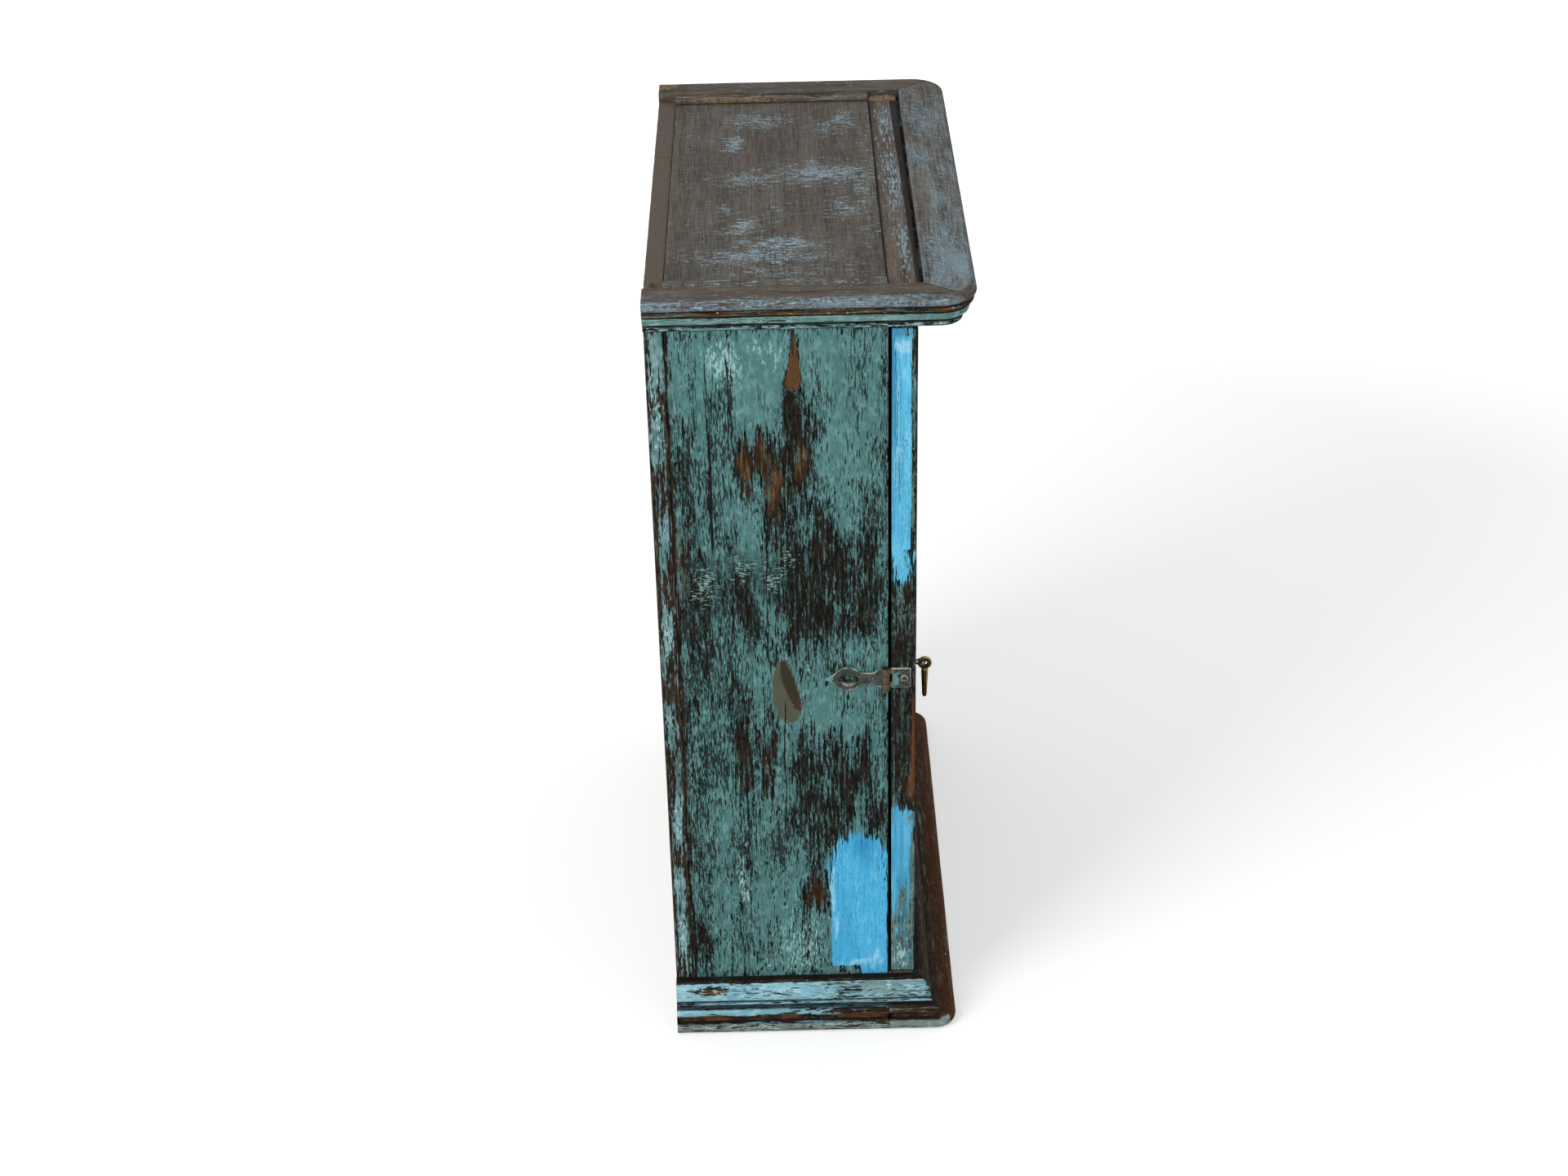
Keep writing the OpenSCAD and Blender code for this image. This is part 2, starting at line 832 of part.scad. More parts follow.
// Pegs through the stub tenons, standing a little proud of the frame
module door_pegs() {
    color(umber) pegs();
}

// Hasp leaf: a plate on the left edge of the door with the outer two knuckles
hasp_knuckle = hasp_h / 3;
hasp_leaf_h = 20;
hasp_leaf_in = 4.4;
rivet_d = 3.2;
rivet_in = 10.3;
rivet_y = face_y + rivet_in;
module hasp_bore() {
    translate([hasp_x, hasp_y, hasp_z - hasp_h / 2 - eps])
        cylinder(d = hasp_pin_d + 2 * seat, h = hasp_h + 2 * eps);
}
module rivet_bore() {
    translate([-out_x - hasp_t - eps, rivet_y, hasp_z]) rotate([0, 90, 0])
        cylinder(d = rivet_d, h = hasp_t + 2 * eps);
}
module hasp_eye(z0, z1, plate_z0, plate_z1) {
    translate([hasp_x, hasp_y, z0]) cylinder(r = hasp_r, h = z1 - z0);
    board([-out_x - hasp_t, door_y - eps, plate_z0], [-out_x - fit, hasp_y, plate_z1]);
}
module hasp_leaf() {
    low = hasp_z - hasp_h / 2;
    eye_h = hasp_knuckle - knuckle_gap / 2;
    leaf_low = hasp_z - hasp_leaf_h / 2;
    leaf_high = hasp_z + hasp_leaf_h / 2;
    color(iron) difference() {
        union() {
            board([-out_x - hasp_t, face_y + hasp_leaf_in, leaf_low], [-out_x, door_y, leaf_high]);
            hasp_eye(low, low + eye_h, leaf_low, low + eye_h);
            hasp_eye(low + hasp_h - eye_h, low + hasp_h, low + hasp_h - eye_h, leaf_high);
        }
        hasp_bore();
        rivet_bore();
    }
}
module hasp_rivet() {
    head_h = 1.8;
    dome_r = 5.4;
    color(iron) translate([-out_x, rivet_y, hasp_z]) rotate([0, -90, 0]) {
        cylinder(d = rivet_d, h = hasp_t);
        translate([0, 0, hasp_t]) intersection() {
            cylinder(r = dome_r, h = head_h);
            translate([0, 0, head_h - dome_r]) sphere(dome_r);
        }
    }
}
module hasp_pin() {
    head = 0.8;
    head_in = 0.6;
    color(bronze) translate([hasp_x, hasp_y, hasp_z - hasp_h / 2]) {
        cylinder(d = hasp_pin_d, h = hasp_h);
        for (h = [-head, hasp_h]) translate([0, 0, h]) cylinder(r = hasp_r - head_in, h = head);
    }
}

// Hasp strap: middle knuckle, flare, neck, round lobe with a slot, and a point
flare_h = 9.4;
neck_h = 5.6;
slot_w = 5.4;
strap_gap = 0.5;
strap_x = -out_x - strap_gap;
neck_run = staple_at - lobe_r * 0.86;
tip_at = [0.45, 0.88];
function half_h(t) = neck_h + (t < 0.5 ? flare_h - neck_h : lobe_r * 0.5 - neck_h)
    * (1 + cos(360 * t)) / 2;
module strap_plan() {
    n = 14;
    eye_gap = 0.4;
    start = hasp_r + eye_gap;
    run = [for (i = [0:n]) let (t = i / n) [start + (neck_run - start) * t, half_h(t)]];
    difference() {
        union() {
            polygon(concat(run, [for (i = [n:-1:0]) [run[i][0], -run[i][1]]]));
            translate([staple_at, 0]) circle(lobe_r);
            polygon([[staple_at + lobe_r * tip_at[0], lobe_r * tip_at[1]], [strap_len, 0],
                [staple_at + lobe_r * tip_at[0], -lobe_r * tip_at[1]]]);
        }
        translate([staple_at, 0]) {
            square([staple_span, slot_w], center = true);
            for (s = [-1, 1]) translate([s * staple_span / 2, 0]) circle(d = slot_w);
        }
    }
}
module hasp_strap() {
    tongue_h = hasp_knuckle - knuckle_gap;
    tongue_lap = 1;
    color(iron) difference() {
        union() {
            translate([strap_x, hasp_y, hasp_z]) rotate([0, -90, 0]) rotate([0, 0, 90])
                linear_extrude(hasp_t) strap_plan();
            translate([hasp_x, hasp_y, hasp_z - tongue_h / 2])
                cylinder(r = hasp_r - 0.1, h = tongue_h);
            board([strap_x - hasp_t, hasp_y, hasp_z - tongue_h / 2],
                [strap_x, hasp_y + hasp_r + tongue_lap, hasp_z + tongue_h / 2]);
        }
        hasp_bore();
    }
}

// Pull cotter: a wire eye on a shank through the door, with its ends bent over inside
clinch_len = 9;
clinch_t = 1.2;
module pull_cotter() {
    shank_y = pull_y + 2 * loop_r;
    color(bronze) {
        translate([pull_x, pull_y + loop_r, pull_z]) rotate_extrude()
            translate([loop_r, 0]) circle(d = cotter_wire);
        translate([pull_x, shank_y, pull_z]) rotate([-90, 0, 0])
            cylinder(d = 2 * cotter_wire - 2 * seat, h = door_y - shank_y);
        translate([pull_x - clinch_len, door_y, pull_z])
            cube([2 * clinch_len, clinch_t, cotter_wire]);
    }
}

// Drop of the pull: a flat ring head on the wire eye and a tapered stem
eye_play = 0.5;
head_z = -(head_bore_r - cotter_wire / 2 - eye_play);
tip_share = 0.68;
module pull_drop() {
    tip_r = stem_r * tip_share;
    stem_in = 1;
    stem_top = head_z - head_r + stem_in;
    color(bronze) translate([pull_x, pull_y, pull_z]) difference() {
        union() {
            translate([-head_t / 2, 0, head_z]) rotate([0, 90, 0])
                cylinder(r = head_r, h = head_t);
            translate([0, 0, -drop_len + tip_r])
                cylinder(r1 = tip_r, r2 = stem_r, h = stem_top + drop_len - tip_r);
            translate([0, 0, -drop_len + tip_r]) sphere(tip_r);
        }
        translate([-head_t, 0, head_z]) rotate([0, 90, 0])
            cylinder(r = head_bore_r, h = 2 * head_t);
    }
}

side_left();
side_right();
bottom_board();
top_board();
shelf_lower();
shelf_upper();
cleats_lower();
cleats_upper();
back_board_left();
back_board_middle();
back_board_right();
hanging_rail();
front_top_rail();
front_base_rail();
batten_left();
batten_right();
cap_front();
cap_left();
cap_right();
bed_mould_front();
bed_mould_left();
bed_mould_right();
ovolo_front();
ovolo_left();
ovolo_right();
scotia_front();
scotia_left();
scotia_right();
plinth_front();
plinth_left();
plinth_right();
back_nails();
staple();
case_leaf_upper();
case_leaf_lower();
case_leaf_screws();
hinge_pins();
door_stile_left();
door_stile_right();
door_rail_top();
door_rail_middle();
door_rail_bottom();
door_panel_upper();
door_panel_lower();
door_beads_upper();
door_beads_lower();
door_pegs();
door_leaf_upper();
door_leaf_lower();
door_leaf_screws();
hasp_leaf();
hasp_rivet();
hasp_pin();
pull_cotter();
hasp_strap();
pull_drop();
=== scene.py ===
"""A small painted wall cabinet, dressed piece by piece around its solids.

Sizes in the sections are in millimetres, with +Z up, the door towards -Y and the wall at +Y.
"""
import json

import bpy
import numpy as np
from mathutils import Matrix, Vector
from mathutils.geometry import delaunay_2d_cdt


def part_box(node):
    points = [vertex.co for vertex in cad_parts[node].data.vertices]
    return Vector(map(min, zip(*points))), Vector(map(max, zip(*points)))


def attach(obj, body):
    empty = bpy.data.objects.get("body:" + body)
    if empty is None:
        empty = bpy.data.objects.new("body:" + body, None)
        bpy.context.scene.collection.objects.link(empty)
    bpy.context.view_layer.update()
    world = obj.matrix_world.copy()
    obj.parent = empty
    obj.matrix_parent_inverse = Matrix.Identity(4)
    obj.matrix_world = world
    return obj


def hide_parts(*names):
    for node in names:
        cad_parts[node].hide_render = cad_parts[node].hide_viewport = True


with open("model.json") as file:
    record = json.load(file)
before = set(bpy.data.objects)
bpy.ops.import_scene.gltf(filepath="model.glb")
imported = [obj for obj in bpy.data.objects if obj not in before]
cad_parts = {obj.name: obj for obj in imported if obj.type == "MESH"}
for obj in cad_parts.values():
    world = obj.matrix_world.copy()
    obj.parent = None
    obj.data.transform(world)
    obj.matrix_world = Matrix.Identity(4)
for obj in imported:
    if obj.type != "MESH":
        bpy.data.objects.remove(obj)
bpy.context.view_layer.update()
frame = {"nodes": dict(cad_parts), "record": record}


# Side boards
# Two upright boards of old softwood, 18 mm thick, cut from one plank each. Brushed teal paint has
# worn off along the grain down to dark wood, and bright blue was daubed low on the left one.
BODY_OF = {node: body for body, nodes in frame["record"]["behaviour"]["bodies"].items() for node in nodes}


def corners(node):
    """Lowest and highest corner of a solid, in millimetres."""
    return np.array([list(end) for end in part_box(node)]) * 1000


def rough(points, seed):
    """Smooth random field from -1 to 1: a random value at each lattice point, mixed by 3t^2 - 2t^3."""
    cell = np.floor(points)
    t = points - cell
    t = t * t * (3 - 2 * t)
    field = 0
    for corner in range(8):
        bit = np.array([corner & 1, corner >> 1 & 1, corner >> 2 & 1])
        key = (cell.astype(np.int64) + bit) @ np.array([15731, 789221, 1376312]) + seed * 7919
        key = (key & 0xFFFFFFFF).astype(np.uint32)
        for shift, times in ((16, 0x7FEB352D), (15, 0x846CA68B), (16, 1)):
            key = (key ^ key >> np.uint32(shift)) * np.uint32(times)
        field = field + np.prod(np.where(bit, t, 1 - t), axis=1) * (key / 2147483647.5 - 1)
    return field


def grained(points, along, across, length, seed):
    """The same field drawn out along the grain: hills `across` mm apart one way, `length` mm the other."""
    return rough(points / np.where(np.arange(3) == along, length, across), seed)


def ramp(value, low, high):
    """Straight from 0 at `low` to 1 at `high`."""
    return np.clip((value - low) / (high - low), 0, 1)


def join(x, y, z):
    """Points from their three places, each a number or a grid."""
    return np.stack(np.broadcast_arrays(x, y, z), -1)


def weave(index):
    """The quads between the neighbours in a grid of point numbers."""
    return np.stack([index[:-1, :-1], index[1:, :-1], index[1:, 1:], index[:-1, 1:]], -1).reshape(-1, 4)


def volume(points, faces):
    """Six times the signed volume under a fan of triangles."""
    fan = np.array([(face[0], face[i], face[i + 1]) for face in faces for i in range(1, len(face) - 1)])
    a, b, c = points[fan].transpose(1, 0, 2)
    return np.einsum("ij,ij->i", a, np.cross(b, c)).sum()


def make_piece(name, points, faces, finish, node, marks=None):
    """Mesh in place, faces turned outwards by the sign of the volume, standing for one solid."""
    faces = [list(map(int, face)) for face in faces]
    if volume(points, faces) < 0:
        faces = [face[::-1] for face in faces]
    mesh = bpy.data.meshes.new(name)
    mesh.from_pydata((points / 1000).tolist(), [], faces)
    for mark, values in (marks or {}).items():
        kind, form = ("vector", "FLOAT_VECTOR") if np.ndim(values) > 1 else ("value", "FLOAT")
        made = mesh.attributes.new(mark, form, "POINT")
        made.data.foreach_set(kind, np.asarray(values, np.float32).ravel())
    mesh.polygons.foreach_set("use_smooth", np.ones(len(mesh.polygons), bool))
    mesh.materials.append(finish)
    piece = bpy.data.objects.new(name, mesh)
    bpy.context.scene.collection.objects.link(piece)
    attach(piece, BODY_OF[node])
    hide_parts(node)


def grid_lines(low, high, arris, step):
    """Places along one side of a board: close together in the rounded arrises, even between them."""
    near = min(arris, (high - low) / 4) * np.array([0, 0.3, 0.65, 1.0, 1.6])
    count = max(1, int(round((high - low - 2 * near[-1]) / step)))
    middle = np.linspace(low + near[-1], high - near[-1], count + 1)[1:-1]
    return np.concatenate([low + near, middle, (high - near)[::-1]])


def box_grid(low, high, arris, step):
    """Points (i, j, k) of three sets of lines that lie on the faces of a box, and the quads between them."""
    lines = [grid_lines(*ends, arris, apart) for *ends, apart in zip(low, high, step)]
    index = np.arange(np.prod([len(line) for line in lines])).reshape([len(line) for line in lines[::-1]]).T
    quads = []
    for axis in range(3):
        sheets = np.moveaxis(index, (axis, (axis + 1) % 3, (axis + 2) % 3), (0, 1, 2))
        quads += [weave(sheets[0])[:, ::-1], weave(sheets[-1])]
    used, quads = np.unique(np.concatenate(quads), return_inverse=True)
    places = [used % index.shape[0], used // index.shape[0] % index.shape[1], used // index[:, :, 0].size]
    return np.stack([line[place] for line, place in zip(lines, places)], 1), quads.reshape(-1, 4)


def worn_box(low, high, along, arris=1.2, step=4.0, length=10.0, dent=0.25, seed=1):
    """Board with worn arrises: a box point p goes to q + r (p - q) / |p - q|, where q is p moved in by r,
    and r swells at random along the arris."""
    low, high = np.array(low, float), np.array(high, float)
    points, quads = box_grid(low, high, arris, np.where(np.arange(3) == along, float(length), step))
    gap = np.sort(np.minimum(points - low, high - points), axis=1)
    radius = arris * (0.75 + 0.45 * grained(points, along, 5, 26, seed))
    radius = np.minimum(radius, (high - low).min() * 0.45)[:, None]
    inner = np.clip(points, low + radius, high - radius)
    way = points - inner
    way = way / np.maximum(np.linalg.norm(way, axis=1, keepdims=True), 1e-9)
    dip = 0.5 + 0.3 * grained(points, along, 18, 90, seed + 1)
    dip = dip + 0.2 * grained(points, along, 2.6, 40, seed + 2)
    return inner + way * (radius - dent * dip[:, None]), quads, np.minimum(gap[:, 1], 30)


def tint(code):
    """A web colour as linear light; a node's output stays as it is."""
    if not isinstance(code, str):
        return code
    value = np.array([int(code[i:i + 2], 16) for i in (1, 3, 5)]) / 255
    linear = np.where(value <= 0.04045, value / 12.92, ((value + 0.055) / 1.055) ** 2.4)
    return (*linear.tolist(), 1.0)


def shader(tree, kind, given, **settings):
    """A shader node with its settings, and in each socket given a number or another node's output."""
    node = tree.nodes.new("ShaderNode" + kind)
    for name, value in settings.items():
        setattr(node, name, value)
    feed(tree, node.inputs, given)
    return node


def feed(tree, sockets, given):
    """Sets each socket to its number, or links another node's output to it."""
    for name, value in given.items():
        if isinstance(value, bpy.types.NodeSocket):
            tree.links.new(value, sockets[name])
        else:
            sockets[name].default_value = value


class Finish:
    """A material as a chain of shader nodes: each call adds one and returns its output. With `flow` its
    places are those along a moulding's run and round its profile, which the mesh carries."""

    def __init__(self, name, along=0, flow=False, **surface):
        self.material = bpy.data.materials.new(name)
        self.material.use_nodes = True
        self.tree, self.along = self.material.node_tree, along
        self.surface = self.tree.nodes["Principled BSDF"].inputs
        feed(self.tree, self.surface, {"Specular IOR Level": 0.12, **surface})
        if flow:
            self.where = self.mark("flow", "Vector")
        else:
            self.where = shader(self.tree, "TexCoord", {}).outputs["Object"]

    def mark(self, name, output="Fac"):
        """What the mesh carries under this name, point by point."""
        return shader(self.tree, "Attribute", {}, attribute_name=name).outputs[output]

    def calc(self, operation, *values):
        """One step of arithmetic on numbers and outputs."""
        return shader(self.tree, "Math", dict(enumerate(values)), operation=operation).outputs[0]

    def times(self, a, b):
        return self.calc("MULTIPLY", a, b)

    def plus(self, value, times, rest):
        """rest + times value"""
        return self.calc("MULTIPLY_ADD", value, times, rest)

    def about(self, noise, times, rest):
        """rest + times (noise - 1/2)"""
        return self.plus(self.calc("SUBTRACT", noise, 0.5), times, rest)

    def step(self, value, low, high):
        """From 0 at `low` to 1 at `high` by 3t^2 - 2t^3."""
        return shader(self.tree, "MapRange", {"Value": value, "From Min": low, "From Max": high},
                      interpolation_type="SMOOTHSTEP").outputs[0]

    def lay(self, look, colour, value, low=None, high=None, most=None):
        """A colour over another: as far as a value has risen from low to high, and by `most` at the most."""
        share = value if low is None else self.step(value, low, high)
        share = share if most is None else self.times(share, most)
        sockets = {0: share, 6: tint(look), 7: tint(colour)}
        return shader(self.tree, "Mix", sockets, data_type="RGBA").outputs[2]

    def noise(self, sizes, seed=0.0, detail=3.0, gain=0.55, warp=0.0):
        """Noise with hills `sizes` millimetres apart along x, y and z."""
        scaled = shader(self.tree, "VectorMath", {
            0: self.where, 1: [1000 / size for size in sizes], 2: (seed * 3.71, seed * 1.37, seed * 2.19)},
            operation="MULTIPLY_ADD")
        return shader(self.tree, "TexNoise", {"Vector": scaled.outputs[0], "Scale": 1, "Detail": detail,
                                              "Roughness": gain, "Distortion": warp}).outputs["Fac"]

    def grain(self, across, length, seed, detail=3, gain=0.55, warp=0.0, way=None):
        """Noise drawn out along the grain."""
        sizes = [across] * 3
        sizes[self.along if way is None else way] = length
        return self.noise(sizes, seed, detail, gain, warp)

    def cracks(self, places):
        """Thin lines along z on a face across x, each (y, low z, high z, width, sway) in millimetres."""
        apart = shader(self.tree, "SeparateXYZ", {0: self.where}).outputs
        sway = self.calc("SUBTRACT", self.noise([9, 9, 30], 5, 4), 0.5)
        found = 0.0
        for y, low, high, width, bend in places:
            half = (high - low) / 2
            away = self.calc("ABSOLUTE", self.plus(sway, bend, self.plus(apart[1], 1000, -y)))
            up = self.calc("ABSOLUTE", self.plus(apart[2], 1000, -(low + high) / 2))
            share = self.times(self.step(away, width, 0.3 * width), self.step(up, half, half - 12))
            found = self.calc("MAXIMUM", found, share)
        return found

    def done(self, look, rough_it, height, depth):
        """Colour, roughness and the bump of a height of 0 to 1 that stands for `depth` millimetres."""
        bump = shader(self.tree, "Bump", {"Strength": 1, "Distance": depth / 1000, "Height": height})
        feed(self.tree, self.surface, {"Base Color": look, "Roughness": rough_it, "Normal": bump.outputs[0]})
        return self.material


def painted_wood(name, along, coat=("#4b7675", "#5d8b8a", "#76a8a7"), wood=("#080705", "#29241a", "#646154"),
                 wear=0.3, grime=0.5, edge=0.5, reach=5.0, seed=0.0, cloudy=0.9, most=0.72, rub="#a9d0d2",
                 blues=("#4aafdb", "#57beea", "#88d5f3", "#2f8abb"), stains=(), craze=False, cracks=(),
                 flow=False):
    """Paint that is missing wherever a grainy noise lies under the wear, which stops at `most`, with the wood
    showing there. Each stain is a mark and its colour."""
    made = Finish(name, along, flow)
    mark, plus, times, about, step, lay, grain = (
        made.mark, made.plus, made.times, made.about, made.step, made.lay, made.grain)
    fibre, streak = grain(1.1, 9, seed + 1), grain(2.4, 30, seed + 2, 4, warp=0.25)
    cloud, speck = grain(19, 60, seed + 3, 4), grain(1.8, 5.5, seed + 4)
    mottle, crack = grain(7, 11, seed + 5, 4, 0.65), grain(1.7, 210, seed + 6, 2, warp=0.5)
    flake = grain(1.9, 6.0, seed + 8, 4, 0.6)

    field = plus(plus(fibre, 0.32, plus(streak, 0.46, times(speck, 0.22))), 4.6, -1.8)
    bare = wear
    for kind, share in (("worn", 0.52), ("thin", 0.22), ("fresh", 0.42), ("kept", -0.5)):
        bare = plus(mark(kind), share, bare)
    bare = made.calc("ADD", bare, plus(cloud, cloudy, -0.5 * cloudy))
    bare = plus(step(crack, 0.66, 0.72), 0.45, bare)
    bare = plus(step(mark("arris"), reach, 0.0), edge, bare)
    margin = made.calc("SUBTRACT", made.calc("MINIMUM", bare, most), field)
    bare = step(margin, -0.07, 0.07)

    paint = lay(coat[0], coat[1], cloud, 0.35, 0.65)
    paint = lay(paint, coat[2], mottle, 0.45, 0.7, 0.6)
    dirt = about(cloud, 0.22, plus(streak, 0.35, times(fibre, 0.65)))
    dirt = step(plus(mark("thin"), 0.05, dirt), 0.52, 0.58)
    zone = step(made.calc("ADD", about(cloud, 2.6, mark("thin")), mark("worn")), -0.5, 0.6)
    paint = lay(paint, "#161b18", times(times(dirt, grime), zone))
    paint = lay(paint, "#10120f", margin, -0.2, -0.06, 0.25)

    under = lay(wood[0], wood[1], fibre, 0.5, 0.6)
    under = lay(under, wood[2], streak, 0.54, 0.64, 0.85)
    under = lay(under, "#3b3020", mottle, 0.48, 0.62, 0.25)
    fresh = lay("#33200f", "#71502f", streak, 0.4, 0.6)
    under = lay(under, fresh, about(fibre, 0.9, about(mottle, 1.1, mark("fresh"))), 0.2, 1.2)
    look = lay(paint, under, bare)
    for kind, colour in stains:
        look = lay(look, colour, about(fibre, 1.4, mark(kind)), 0.2, 1.0, 0.9)
    look = lay(look, rub, about(fibre, 1.6, about(flake, 4.0, mark("pale"))), 0.75, 1.1, 0.85)
    if craze:
        ripple = made.noise([1.5, 5.0, 1.2], seed + 7, 2, warp=0.8)
        ripple = plus(made.calc("SUBTRACT", mark("craze"), 1.0), 0.3, ripple)
        look = lay(look, "#141714", ripple, 0.47, 0.42, mark("craze"))
        look = lay(look, "#a3bbb2", ripple, 0.53, 0.6, 0.85)

    fray = plus(streak, 0.6, times(fibre, 0.4))
    daubed = step(about(fray, 2.0, mark("blue")), 0.44, 0.58)
    blue = lay(blues[0], blues[1], cloud, 0.35, 0.65)
    blue = lay(blue, blues[2], mottle, 0.52, 0.75, 0.6)
    blue = lay(blue, blues[3], fibre, 0.54, 0.7, 0.28)
    # The deep mark darkens the blue: random tone on the side board, and painted shade along the door edge's
    # back arris and top.
    blue = lay(blue, blues[3], mark("deep"), most=0.75)
    # The lit mark lays a painted highlight: pale blue where light catches the blue paint.
    blue = lay(blue, "#a4def6", about(mottle, 1.2, mark("lit")), 0.3, 1.0, 0.75)
    if cracks:
        look = lay(look, "#0c0d0b", made.cracks(cracks))
        blue = lay(blue, "#16384c", made.cracks(cracks), most=0.85)
    look = lay(look, blue, daubed)
    # Soil and shade: darker where the mesh's mark says so, for dirt and for painted shade in quirks, in
    # joints under overhangs and at the foot of raised edges.
    look = lay(look, "#120f0c", about(speck, 1.0, mark("soil_and_shade")), 0.2, 0.8, 0.9)
    height = plus(bare, -0.6, times(fibre, 0.5))
    height = plus(daubed, 0.3, plus(streak, 0.3, height))
    return made.done(look, plus(bare, 0.2, plus(speck, 0.15, 0.5)), height, 0.6)


def spot(a, b, place, sizes, power=2.6):
    """1 in the middle of a spot on a face and 0 outside it: exp(-(distance / size) ^ power)."""
    away = np.sqrt(((a - place[0]) / sizes[0]) ** 2 + ((b - place[1]) / sizes[1]) ** 2)
    return np.exp(-away ** power)


def daub(a, b, low, high, corner, side=1.0, top=1.0, foot=1.0):
    """Rounded rectangle: 0.5 at its outline, running out over so many mm at its sides, top and foot."""
    middle, half = (np.array(low) + high) / 2, (np.array(high) - low) / 2
    da, db = np.abs(a - middle[0]) - half[0] + corner, np.abs(b - middle[1]) - half[1] + corner
    away = np.hypot(np.maximum(da, 0), np.maximum(db, 0)) + np.minimum(np.maximum(da, db), 0) - corner
    fade = np.where(b > high[1] - 2.2 * top, top, np.where(b < low[1] + 2.2 * foot, foot, side))
    return np.clip(0.5 - away / (2 * fade), 0, 1)


def inside(a, b, outline, soft):
    """1 inside a closed outline, 0 outside it, with a soft edge: the least distance to any of its sides."""
    outline = np.array(outline, float)
    away, odd = np.full(len(a), 1e9), np.zeros(len(a), bool)
    for (a0, b0), (a1, b1) in zip(outline, np.roll(outline, -1, axis=0)):
        t = np.clip(((a - a0) * (a1 - a0) + (b - b0) * (b1 - b0)) / ((a1 - a0) ** 2 + (b1 - b0) ** 2), 0, 1)
        away = np.minimum(away, np.hypot(a - a0 - t * (a1 - a0), b - b0 - t * (b1 - b0)))
        cross = (b0 > b) != (b1 > b)
        with np.errstate(divide="ignore", invalid="ignore"):
            odd ^= cross & (a < (a1 - a0) * (b - b0) / (b1 - b0) + a0)
    return np.clip(0.5 + np.where(odd, away, -away) / (2 * soft), 0, 1)


def add_spots(marks, a, b, face, spots):
    """Lays each mark's spots (place, place, half size, half size, strength) on the points of one face."""
    for kind, rows in spots.items():
        for a0, b0, ra, rb, strength in rows:
            found = strength * face * spot(a, b, (a0, b0), (ra * 1.2, rb * 1.2))
            marks[kind] = np.maximum(marks.get(kind, 0), found)


